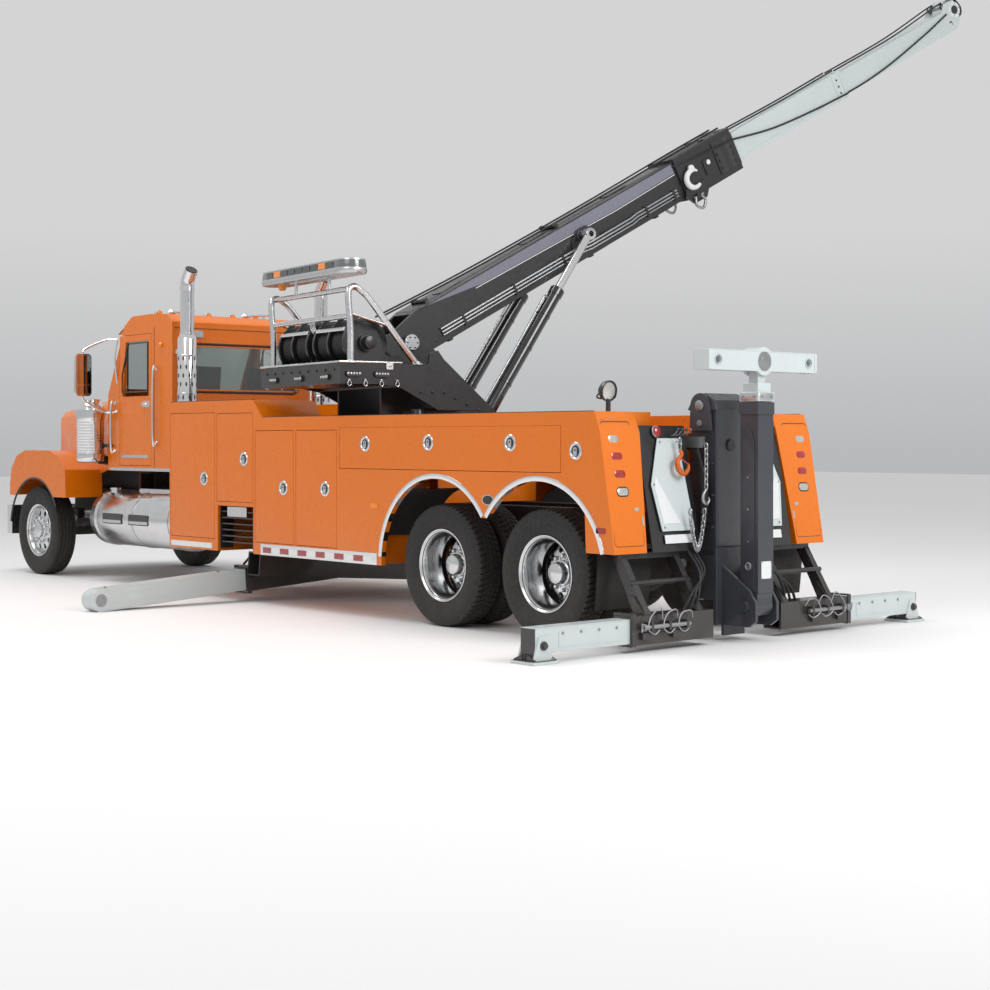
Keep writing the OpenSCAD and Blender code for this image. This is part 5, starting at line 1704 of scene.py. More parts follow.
# ---- turret, winches, pylon
@dataclass
class Turret:
    """Dressing of the turret, in its own axes: X along the boom's heading, Y to its left.

    Attributes:
        half: Half width.
        tail: Rear face.
        deck: Height of its deck edge.
        drum_x: Axis of the winch drums.
        drum_z: Its height.
        flange: Radius of a drum flange.
        drum: Radius of a drum.
        legs: Feet of the pylon along the turret.
        pylon: Top of the pylon: X, Y, Z.
        bar: Light bar: rear, front, half length, underside and top.
    """

    half: float = 0.85
    tail: float = -1.35
    deck: float = 2.36
    drum_x: float = -1.01
    drum_z: float = 2.56
    flange: float = 0.235
    drum: float = 0.13
    legs: tuple[float, float] = (-1.23, -0.52)
    pylon: tuple[float, float, float] = (-1.21, 0.818, 3.09)
    bar: tuple[float, float, float, float, float] = (-1.36, -1.06, 0.94, 3.19, 3.33)

    def build(self) -> None:
        """Makes all the pieces."""
        self._deck()
        self._winches()
        self._pylon()
        self._light_bar()

    def _deck(self) -> None:
        """Bright rails, work lamps, latch, drop pins, bolts, hoses and the slewing drive."""
        shape = Shape(TURRET)
        h, t, d = self.half, self.tail, self.deck
        rail = [(-0.7, -h - 0.004, d + 0.01), (t - 0.004, -h - 0.004, d + 0.01),
            (t - 0.004, h + 0.004, d + 0.01), (-0.7, h + 0.004, d + 0.01)]
        shape.tube(np.array(rail), 0.011, 10)
        for s in (-1, 1):
            y = s * (h + 0.001)
            for x in (-1.28, -0.98):
                oval = rounded_box(0.165, 0.062, 0.03, 8) + np.array([x + 0.06, 2.262])
                shape.ink(1).prism(oval, XZ, y, y + s * 0.022)
                for k in range(5):
                    shape.ink(2).revolve([(0, 0.0125), (0.004, 0.01), (0.005, 0)],
                        (x + 0.03 * k, y + s * 0.021, 2.262), (0, s, 0), 12)
            shape.ink(3).block((-0.87, y, 2.305), (-0.8, y + s * 0.012, 2.375), 0.01, XZ)
            shape.ink(0).rod((-0.835, y, 2.34), (-0.835, y + s * 0.03, 2.34), 0.012, 10)
            for k in range(7):
                shape.ink(1).bolt((-0.62 + 0.13 * k, y, 2.1 - 0.055 * max(k - 3, 0)), (0, s, 0), 0.016,
                    0.01, 0.002)
            for k in range(4):
                x = -1.27 + 0.17 * k
                shape.ink(0).rod((x, y, 2.2), (x, y + s * 0.026, 2.2), 0.012, 12)
                shape.bend([(x, y + s * 0.022, 2.2), (x - 0.02, y + s * 0.024, 2.17),
                    (x, y + s * 0.024, 2.145), (x + 0.02, y + s * 0.024, 2.17)], 0.0035, 6, 5, True)
            # hydraulic hoses over the side plate down to the lift cylinders
            for k in range(3):
                hose = [(-0.62, s * (0.55 + 0.06 * k), 2.22), (-0.4, s * (0.56 + 0.06 * k),
                    2.3 + 0.03 * k), (-0.05, s * (0.54 + 0.05 * k), 2.14),
                    (0.18, s * (0.5 + 0.03 * k), 1.98)]
                shape.ink(4).bend(hose, 0.015, 10, 8)
            shape.ink(0).revolve([(0, 0), (0, 0.078), (0.012, 0.08), (0.02, 0.07), (0.022, 0)],
                (-0.39, s * 0.502, 2.59), (0, s, 0), 28)
            for k in range(6):
                a = k * TAU / 6
                shape.ink(1).bolt((-0.39 + 0.055 * cos(a), s * 0.523, 2.59 + 0.055 * sin(a)), (0, s, 0),
                    0.009, 0.008)
        for k in range(9):
            shape.ink(1).bolt((t, -0.72 + 0.18 * k, 2.3), (-1, 0, 0), 0.014, 0.01)
        for y in (-0.55, 0, 0.55):
            oval = rounded_box(0.165, 0.062, 0.03, 8) + np.array([y, 2.235])
            shape.ink(1).prism(oval, YZ, t - 0.02, t)
            for k in range(5):
                shape.ink(2).revolve([(0, 0.0125), (0.004, 0.01), (0.005, 0)],
                    (t - 0.019, y - 0.06 + 0.03 * k, 2.235), (-1, 0, 0), 12)
        for a in np.radians(np.arange(0, 360, 15)):
            shape.ink(1).bolt((0.8 * cos(a), 0.8 * sin(a), 1.7), (0, 0, 1), 0.016, 0.014, 0.002)
        for s in (-1, 1):
            shape.ink(1).revolve([(0, 0), (0, 0.12), (0.02, 0.12), (0.02, 0.09), (0.16, 0.088),
                (0.18, 0.075), (0.24, 0.07), (0.25, 0)], (-0.42, s * 0.66, 1.7), (0, 0, 1), 28)
        shape.build("turret_fittings", "turret", (CHROME, BLACK, CLEAR_LENS, WHITE_PAINT, HOSE), 0.001)

    def _winches(self) -> None:
        """Winches: drums wound with rope, flanges, motors, fairleads and cross tubes.

        The rope on a drum is a grid whose radius is the drum's plus a ripple with one crest a rope wide.
        """
        shape = Shape(TURRET)
        x, z = self.drum_x, self.drum_z
        for y0 in (-0.7, 0.06):
            for k, (a0, a1) in enumerate(((0.034, 0.316), (0.354, 0.606))):
                y = np.linspace(y0 + a0, y0 + a1, 170)
                ripple = self.drum + 0.048 + 0.01 * np.abs(np.sin((y - y[0]) / 0.022 * pi))
                shape.ink(1).revolve(np.stack([y - y0, ripple], 1), (x, y0, z), (0, 1, 0), 48)
            for y in (y0, y0 + 0.32, y0 + 0.61):
                profile = [(0, 0), (0, 0.1), (0.004, 0.105), (0.004, 0.2), (-0.001, 0.206),
                    (-0.001, self.flange - 0.006), (0.006, self.flange), (0.024, self.flange),
                    (0.031, self.flange - 0.006), (0.031, 0.206), (0.026, 0.2), (0.026, 0.105),
                    (0.03, 0.1), (0.03, 0)]
                shape.ink(0).revolve(profile, (x, y, z), (0, 1, 0), 56)
            for y in (y0 - 0.004, y0 + 0.604):
                for k in range(8):
                    a = k * TAU / 8
                    shape.ink(2).bolt((x + 0.155 * cos(a), y, z + 0.155 * sin(a)), (0, 1, 0), 0.011, 0.042,
                        0.002)
            for y in (y0, y0 + 0.61):
                outline = [(x - 0.2, 2.2), (x + 0.2, 2.2), (x + 0.17, z), (x + 0.12, z + 0.12),
                    (x - 0.12, z + 0.12), (x - 0.17, z)]
                shape.ink(0).prism(outline, XZ, y - 0.012 if y == y0 else y + 0.031,
                    y if y == y0 else y + 0.042)
            shape.ink(0).revolve([(0, 0), (0, 0.085), (0.05, 0.085), (0.05, 0.065), (0.115, 0.062),
                (0.12, 0.05), (0.12, 0)], (x, y0 + (0.64 if y0 > 0 else 0), z),
                (0, 1 if y0 > 0 else -1, 0), 28)
            # tensioner roller and its arms over the drums
            shape.ink(2).rod((x - 0.19, y0 + 0.03, z + 0.125), (x - 0.19, y0 + 0.61, z + 0.125), 0.022, 16)
            shape.ink(0).rod((x + 0.2, y0 + 0.02, z - 0.02), (x + 0.2, y0 + 0.62, z - 0.02), 0.03, 16)
            for y in (y0 + 0.03, y0 + 0.32, y0 + 0.61):
                shape.ink(0).prism([(x - 0.215, z + 0.1), (x - 0.165, z + 0.1), (x - 0.05, z + 0.245),
                    (x - 0.09, z + 0.265)], XZ, y - 0.008, y + 0.008)
            shape.ink(0).rod((x - 0.07, y0 + 0.02, z + 0.252), (x - 0.07, y0 + 0.62, z + 0.252), 0.014, 12)
        shape.ink(0).block((-1.1, -0.056, 2.2), (-0.9, 0.056, 2.7), 0.02)
        for k in range(4):
            lever = smooth_path([(-1.14, -0.045 + 0.03 * k, 2.62), (-1.2, -0.045 + 0.03 * k, 2.72),
                (-1.21, -0.045 + 0.03 * k, 2.8)], 5)
            shape.ink(2).tube(lever, 0.005, 6)
            shape.ink(0).ball((-1.21, -0.045 + 0.03 * k, 2.81), 0.013, 10)
        for k, y in enumerate((-0.5, -0.2, 0.2, 0.52)):
            loop = smooth_path([(-0.86, y, 2.24), (-0.78, y + 0.02, 2.42 + 0.03 * (k % 2)),
                (-0.72, y + 0.05, 2.52), (-0.6, y + 0.06, 2.46)], 8)
            shape.ink(3).tube(loop, 0.016, 10)
        shape.build("winch_set", "turret", (BLACK, ROPE, CHROME, HOSE), 0, replaces=["winches"])

    def _pylon(self) -> None:
        """The pylon: each side is one bright tube bent over the top, with a brace, feet and cross tubes."""
        shape = Shape(TURRET)
        px, py, pz = self.pylon
        front, back = self.legs[1], self.legs[0]
        for s in (-1, 1):
            y = s * py
            hoop = [(front, y, self.deck), (front - 0.2, y, self.deck + 0.235),
                (front - 0.5, y, self.deck + 0.59), (px + 0.1, y, pz - 0.06), (px + 0.03, y, pz - 0.02),
                (px - 0.03, y, pz - 0.04), (px - 0.045, y, pz - 0.12), (back, y, self.deck + 0.3),
                (back, y, self.deck)]
            shape.ink(0).bend(hoop, 0.031, 20, 8)
            for x in (front, back):
                shape.ink(0).revolve([(0, 0), (0, 0.062), (0.012, 0.062), (0.014, 0.04), (0.03, 0.034)],
                    (x, y, self.deck), (0, 0, 1), 24)
                for k in range(4):
                    a = (k + 0.5) * TAU / 4
                    shape.ink(1).bolt((x + 0.05 * cos(a), y + 0.05 * sin(a), self.deck + 0.012), (0, 0, 1),
                        0.008, 0.008)
            shape.ink(0).rod((back + 0.005, y, self.deck + 0.46), (-0.83, y, self.deck + 0.36), 0.016, 14)
        for z, x in ((pz - 0.035, px), (self.deck + 0.44, back + 0.005)):
            shape.ink(0).rod((x, -py, z), (x, py, z), 0.026, 18)
        for y in (-0.35, 0.35):
            shape.ink(0).rod((px, y, pz - 0.04), (px, y, 3.195), 0.016, 12)
        shape.build("pylon_tubes", "turret", (SATIN, BLACK), replaces=["light_pylon"])

    def _light_bar(self) -> None:
        """The light bar: a rounded, ribbed shell with dark and amber cells, on a tray, and a beacon."""
        shape = Shape(TURRET)
        x0, x1, half, z0, z1 = self.bar
        mid, deep = (x0 + x1) / 2, (x1 - x0)
        outline = rounded_box(2 * half, deep, deep * 0.49, 12)
        layers = []
        for z, k in ((z0, 0.94), (z0 + 0.02, 0.99), (z0 + 0.045, 1), (z0 + 0.052, 0.985)):
            layers.append(np.stack([mid + outline[:, 1] * k, outline[:, 0] * (1 - (1 - k) * 0.16),
                np.full(len(outline), z)], 1))
        shape.ink(0).surface(np.stack(layers), loop_v=True, caps=True)
        layers = []
        for i, z in enumerate(np.linspace(z0 + 0.052, z1 - 0.016, 9)):
            k = 0.975 - 0.012 * (i % 2) - 0.05 * (i / 8) ** 3
            layers.append(np.stack([mid + outline[:, 1] * k, outline[:, 0] * (1 - (1 - k) * 0.16),
                np.full(len(outline), z)], 1))
        shape.ink(1).surface(np.stack(layers), loop_v=True, caps=True)
        for z, k in ((z1 - 0.016, 0.93), (z1 - 0.004, 0.92), (z1, 0.86)):
            layers.append(np.stack([mid + outline[:, 1] * k, outline[:, 0] * (1 - (1 - k) * 0.16),
                np.full(len(outline), z)], 1))
        shape.ink(0).surface(np.stack(layers[-3:]), loop_v=True, caps=True)
        for k in range(1, 10):
            y = -0.8 + 0.16 * k
            for x in (x0 + 0.006, x1 - 0.006):
                shape.ink(2 if k in (2, 8) else 3).block((x, y - 0.07, z0 + 0.06),
                    (x + (0.006 if x > mid else -0.006), y + 0.07, z1 - 0.024), 0.008, YZ)
        shape.ink(0).block((mid - 0.045, -0.4, z0 - 0.012), (mid + 0.045, 0.4, z0 + 0.004))
        shape.ink(2).revolve([(0, 0), (0, 0.04), (-0.045, 0.038), (-0.055, 0.02), (-0.056, 0)],
            (mid - 0.02, 0.62, z0), (0, 0, 1), 20)
        shape.build("light_bar", "turret", (BRUSHED, LIGHTBAR, AMBER, DARK_LENS), 0)


# ---- boom
@dataclass
class Boom:
    """Dressing of the three stages of the boom, in axes along it: X up the boom, Z off its upper face.

    Attributes:
        width: Width of the base stage.
        depth: Its depth.
        middle: Its middle line below the foot pin.
        length: Its mouth.
        mid: Middle stage: width, depth and mouth.
        inner: Middle line of both inner stages.
        head: Place along the boom and height of the tip sheaves.
    """

    width: float = 0.4
    depth: float = 0.43
    middle: float = -0.02
    length: float = 4.95
    mid: tuple[float, float, float] = (0.348, 0.318, 6.9)
    inner: float = -0.025
    head: tuple[float, float] = (9.12, 0.07)

    def build(self) -> None:
        """Makes all the pieces."""
        self._base()
        self._collar()
        self._middle()
        self._head()
        self._ropes()

    def _base(self) -> None:
        """Folded bands along the base stage, service pipes, rod bracket and inspection plates."""
        shape = Shape(BOOM)
        w, d, m = self.width / 2, self.depth / 2, self.middle
        for s in (-1, 1):
            y = s * w
            band = [(1.2, m + 0.11), (3.1, m + 0.075), (4.02, m + 0.095), (4.02, m + 0.205),
                (0.45, m + 0.205)]
            shape.ink(1).prism(band, XZ, y, y + s * 0.003)
            line = [(1.1, m + 0.098), (3.1, m + 0.06), (4.02, m + 0.078), (4.02, m + 0.086),
                (3.1, m + 0.068), (1.1, m + 0.107)]
            shape.ink(2).prism(line, XZ, y, y + s * 0.003)
            for z in (m - 0.165, m + 0.207):
                shape.ink(0).tube([(0.42, y, z), (4.04, y, z)], 0.008, 8)
            # bracket of the lift rods: a stepped boss with its keeper plate
            plate = [(2.31, m - 0.215), (2.81, m - 0.215), (2.73, m + 0.02), (2.64, m + 0.1),
                (2.5, m + 0.1), (2.4, m + 0.02)]
            shape.ink(0).prism(plate, XZ, y, y + s * 0.018)
            shape.revolve([(0, 0.085), (0.02, 0.082), (0.028, 0.066), (0.06, 0.06), (0.07, 0.05)],
                (2.563, y + s * 0.005, 0), (0, s, 0), 28)
            for k, r in enumerate((0.012, 0.012, 0.009)):
                z = m - 0.075 - 0.034 * k
                pipe = [(0.52, y + s * 0.016, z), (2.5, y + s * 0.016, z), (2.6, y + s * 0.03, z - 0.01),
                    (3.22, y + s * 0.03, z - 0.01), (3.32, y + s * 0.016, z), (3.95, y + s * 0.016, z)]
                shape.ink(3).tube(np.array(pipe), r, 10)
            for u in (0.8, 1.5, 2.2, 3.45, 3.88):
                shape.ink(0).block((u, y, m - 0.17), (u + 0.03, y + s * 0.03, m - 0.055))
        for u in (0.7, 1.9, 3.1):
            shape.ink(0).prism(rounded_box(0.3, 0.16, 0.03) + np.array([u + 0.2, 0]), XY, m + d,
                m + d + 0.008)
        for k in range(3):
            path = [(0.3, -0.1 + 0.06 * k, m - d - 0.012), (1.4, -0.1 + 0.06 * k, m - d - 0.012),
                (3.9, -0.1 + 0.06 * k, m - d - 0.012)]
            shape.ink(4).tube(np.array(path), 0.013, 10)
        for u in (0.6, 1.6, 2.6, 3.6):
            shape.ink(0).block((u, -0.14, m - d - 0.034), (u + 0.05, 0.08, m - d + 0.002))
        shape.build("boom_base_fittings", "boom_base", (BLACK, LAVENDER, WHITE_PAINT, STEEL, HOSE), 0.001)

    def _collar(self) -> None:
        """The octagonal collar at the mouth, with bolts, the white hook and the shackle that hang from it."""
        shape = Shape(BOOM)
        y, z, m, u1 = 0.236, 0.25, self.middle, self.length
        cut = 0.065
        octagon = [(y, -z + cut), (y, z - cut), (y - cut, z), (-y + cut, z), (-y, z - cut), (-y, -z + cut),
            (-y + cut, -z), (y - cut, -z)]
        hole = [(0.196, -0.17), (0.196, 0.17), (0.15, 0.17), (-0.15, 0.17), (-0.196, 0.17),
            (-0.196, -0.17), (-0.15, -0.17), (0.15, -0.17)]
        rings = []
        for u, outline, grow in ((u1 - 0.03, hole, 1), (u1 + 0.004, hole, 1), (u1 + 0.004, octagon, 0.985),
                (u1 - 0.004, octagon, 1), (u1 - 0.1, octagon, 1), (u1 - 0.11, octagon, 0.975),
                (u1 - 0.24, octagon, 0.975), (u1 - 0.25, octagon, 1), (u1 - 0.33, octagon, 1),
                (u1 - 0.335, octagon, 0.94)):
            flat = np.asarray(outline) * grow
            rings.append(np.stack([np.full(8, u), flat[:, 0], flat[:, 1] + m], 1))
        shape.ink(0).surface(np.stack(rings), loop_v=True)
        for s in (-1, 1):
            for u in (u1 - 0.065, u1 - 0.29):
                for h in (-0.12, -0.04, 0.04, 0.12):
                    shape.ink(0).revolve([(0, 0.017), (0.01, 0.015), (0.012, 0)], (u, s * 0.236, m + h),
                        (0, s, 0), 6)
            ear = [(4.1, -0.33), (4.3, -0.33), (4.4, -0.22), (4.36, -0.14), (4.06, -0.14), (4.02, -0.22)]
            shape.ink(0).prism(ear, XZ, s * 0.226, s * 0.246)
            # white open hook, a thick C with a pointed nose
            a = np.radians(np.linspace(40, 300, 30))
            c = np.stack([4.2 + 0.105 * np.cos(a), np.full(30, s * 0.262), m - 0.055 + 0.095 * np.sin(a)], 1)
            shape.ink(1).tube(c, np.interp(np.linspace(0, 1, 30), (0, 0.2, 0.7, 1),
                (0.012, 0.03, 0.034, 0.02)), 12)
            shape.rod((4.22, s * 0.24, m + 0.06), (4.22, s * 0.275, m + 0.06), 0.04, 18)
            # shackle below it
            bow = smooth_path([(4.13, s * 0.262, -0.27), (4.1, s * 0.262, -0.35), (4.17, s * 0.262, -0.41),
                (4.24, s * 0.262, -0.35), (4.21, s * 0.262, -0.27)], 8)
            shape.ink(2).tube(bow, 0.016, 12)
            shape.rod((4.1, s * 0.262, -0.268), (4.25, s * 0.262, -0.268), 0.013, 12)
            shape.ink(0).rod((4.17, s * 0.22, -0.268), (4.17, s * 0.285, -0.268), 0.03, 16)
            shape.block((4.42, s * 0.225, m - 0.11), (4.58, s * 0.2375, m + 0.07), 0.02, XZ)
            shape.ink(1).revolve([(0, 0.03), (0.004, 0.026), (0.005, 0)], (4.5, s * 0.236, m + 0.02),
                (0, s, 0), 16)
        shape.build("boom_collar", "boom_base", (BLACK, WHITE_PAINT, STEEL), 0.002)

    def _middle(self) -> None:
        """The bands at the mouth of the middle stage, its welds and wear pads."""
        shape = Shape(BOOM)
        w, d, u1 = self.mid
        outline = rounded_box(w + 0.012, d + 0.012, 0.02, 4)
        for u in (u1 - 0.16, u1 - 0.03):
            rings = [np.stack([np.full(len(outline), u + du), outline[:, 0] * k,
                outline[:, 1] * k + self.inner], 1) for du, k in ((0, 0.96), (0, 1), (0.03, 1),
                (0.03, 0.93))]
            shape.ink(0).surface(np.stack(rings), loop_v=True)
        for s in (-1, 1):
            for k in range(3):
                shape.ink(1).bolt((u1 - 0.095, s * w / 2, self.inner - 0.08 + 0.08 * k), (0, s, 0), 0.012,
                    0.008)
            shape.ink(0).tube([(u1 - 1.75, s * w / 2, self.inner - 0.118),
                (u1 - 0.17, s * w / 2, self.inner - 0.118)], 0.004, 6)
        shape.build("boom_mid_bands", "boom_mid", (GREY, BLACK), 0)

    def _head(self) -> None:
        """Tip sheaves with white rims, the black rope guard, rollers, pins and keeper bolts."""
        shape = Shape(BOOM)
        u, z = self.head
        for y in (-0.075, 0, 0.075):
            groove = [(-0.026, 0), (-0.026, 0.118), (-0.024, 0.1435), (-0.019, 0.145), (-0.012, 0.128),
                (0, 0.12), (0.012, 0.128), (0.019, 0.145), (0.024, 0.1435), (0.026, 0.118), (0.026, 0)]
            shape.ink(2).revolve(groove, (u, y, z), (0, 1, 0), 48)
        for s in (-1, 1):
            y = s * 0.1485
            shape.ink(0).revolve([(0, 0.098), (0.004, 0.096), (0.004, 0.06), (0, 0.058)], (u, y, z),
                (0, s, 0), 36)
            shape.ink(1).revolve([(0, 0), (0, 0.052), (0.01, 0.05), (0.012, 0)], (u, y, z), (0, s, 0), 24)
            for k in range(6):
                a = k * TAU / 6
                shape.ink(2).bolt((u + 0.078 * cos(a), y + s * 0.003, z + 0.078 * sin(a)), (0, s, 0),
                    0.008, 0.007)
            guard = [(u + 0.81 * a, z + 0.81 * b) for a, b in ((0.03, 0.1), (0.075, 0.112), (0.145, 0.055),
                (0.168, -0.02), (0.15, -0.085), (0.105, -0.13), (0.085, -0.1), (0.12, -0.06),
                (0.13, -0.01), (0.11, 0.04), (0.06, 0.078))]
            shape.ink(1).prism(guard, XZ, s * 0.128, s * 0.148)
        a = np.radians(np.linspace(-62, 88, 24))
        wide = np.array([-0.128, 0.128])
        hood = [np.stack([np.broadcast_to((u + rr * np.cos(a))[:, None], (24, 2)),
            np.broadcast_to(wide, (24, 2)), np.broadcast_to((z + rr * np.sin(a))[:, None], (24, 2))], -1)
            for rr in (0.134, 0.141)]
        shape.ink(1).surface(np.concatenate([hood[0], hood[1][::-1]]), loop_u=True)
        shape.ink(2).rod((9.01, -0.14, 0.165), (9.01, 0.14, 0.165), 0.034, 20)
        for y in (-0.1, 0.1):
            shape.ink(1).revolve([(-0.03, 0.03), (-0.03, 0.04), (0, 0.03), (0.03, 0.04), (0.03, 0.03)],
                (9.01, y, 0.165), (0, 1, 0), 20)
        shape.build("boom_head_fittings", "boom_tip", (WHITE_PAINT, BLACK, STEEL), 0.001)

    def _ropes(self) -> None:
        """Winch ropes: each stage carries its own length, and the tip's hangs in a shallow bow."""
        base = Shape(BOOM)
        for y in (-0.075, 0.075):
            run = smooth_path([(0.06, y, 0.285), (1.2, y, 0.245), (2.8, y, 0.232), (4.2, y, 0.246),
                (4.94, y, 0.248)], 8)
            base.ink(0).tube(run, 0.0095, 8)
        for u in (0.55, 2.35, 4.6):
            base.ink(1).rod((u, -0.13, 0.215), (u, 0.13, 0.215), 0.02, 14)
            for y in (-0.14, 0.13):
                base.block((u - 0.02, y, 0.16), (u + 0.02, y + 0.012, 0.24))
        sag = smooth_path([(4.02, -0.212, 0.15), (4.45, -0.247, 0.112), (4.95, -0.247, 0.082)], 8)
        base.ink(0).tube(sag, 0.011, 8)
        base.build("boom_base_ropes", "boom_base", (ROPE, BLACK))
        middle = Shape(BOOM)
        for y in (-0.075, 0.075):
            middle.ink(0).bend([(4.96, y, 0.175), (6, y, 0.156), (6.89, y, 0.16)], 0.0095, 8, 8)
        middle.bend([(4.96, -0.189, 0.078), (5.6, -0.189, -0.05), (6.3, -0.189, -0.115),
            (6.9, -0.189, -0.146)], 0.011, 8, 8)
        middle.build("boom_mid_ropes", "boom_mid", ROPE)
        tip = Shape(BOOM)
        for y in (-0.075, 0.075):
            tip.ink(0).bend([(6.92, y, 0.15), (8, y, 0.15), (8.85, y, 0.205), (9.02, y, 0.212)], 0.0095, 8, 8)
        tip.bend([(6.92, -0.162, -0.146), (7.3, -0.162, -0.142), (7.8, -0.162, -0.105),
            (8.5, -0.162, -0.01), (8.95, -0.16, 0.07)], 0.011, 8, 8)
        for k in range(3):
            a = np.linspace(radians(95), radians(-70), 24)
            wrap = np.stack([self.head[0] + 0.131 * np.cos(a), np.full(24, -0.075 + 0.075 * k),
                self.head[1] + 0.131 * np.sin(a)], 1)
            tip.tube(wrap, 0.0095, 8)
        tip.build("boom_tip_ropes", "boom_tip", ROPE)


# ---- cylinders
@dataclass
class Cylinders:
    """The two lift cylinders: glossy barrels with welded ports and pipes, and chromed rods with round eyes.

    Attributes:
        offset: Distance of each cylinder from the boom's middle plane.
        radius: Radius of a barrel.
        length: Length of a barrel.
        rod: Radius of a rod.
        eye: Place of a rod's eye.
    """

    offset: float = 0.33
    radius: float = 0.07
    length: float = 1.7
    rod: float = 0.0425
    eye: float = 2.418

    def build(self) -> None:
        """Makes the barrels and the rods."""
        barrels, rods = Shape(CYLINDER), Shape(CYLINDER)
        r, n = self.radius, self.length
        for s in (-1, 1):
            y = s * self.offset
            profile = [(-0.02, 0.044), (0.055, r - 0.012), (0.085, r - 0.002), (0.1, r), (n - 0.09, r),
                (n - 0.088, r + 0.008), (n - 0.012, r + 0.008), (n - 0.004, r + 0.002),
                (n, self.rod + 0.008), (n, self.rod + 0.0015), (n - 0.2, self.rod + 0.0015)]
            barrels.ink(0).revolve(profile, (0, y, 0), (1, 0, 0), 40)
            barrels.revolve([(-0.064, 0.043), (-0.065, 0.078), (-0.06, 0.081), (0.06, 0.081),
                (0.065, 0.078), (0.064, 0.043)], (0, y, 0), (0, 1, 0), 32)
            for u in (0.16, n - 0.16):
                barrels.ink(1).rod((u, y, r - 0.005), (u, y, r + 0.03), 0.018, 14)
            barrels.ink(1).bend([(n - 0.16, y, r + 0.024), (n - 0.24, y, r + 0.028), (0.9, y, r + 0.018),
                (0.3, y, r + 0.02), (0.22, y, r + 0.028)], 0.011, 10, 6)
            for u in (0.5, 0.95, 1.35):
                barrels.ink(0).revolve([(0, r), (0.002, r + 0.005), (0.022, r + 0.005), (0.024, r)],
                    (u, y, 0), (1, 0, 0), 36)
            for k in range(8):
                a = k * TAU / 8
                barrels.ink(1).bolt((n, y + 0.06 * cos(a), 0.06 * sin(a)), (1, 0, 0), 0.007, 0.006)
            rods.ink(0).revolve([(0.95, 0), (0.95, self.rod), (self.eye - 0.055, self.rod),
                (self.eye - 0.03, 0.03)], (0, y, 0), (1, 0, 0), 36)
            rods.revolve([(-0.04, 0.031), (-0.0425, 0.058), (-0.038, 0.062), (0.038, 0.062),
                (0.0425, 0.058), (0.04, 0.031)], (self.eye, y, 0), (0, 1, 0), 32, loop=True)
        barrels.build("cylinder_barrels", "lift_barrels", (BLACK_GLOSS, STEEL), replaces=["lift_barrels"])
        rods.build("cylinder_rods", "lift_rods", CHROME, replaces=["lift_rods"])


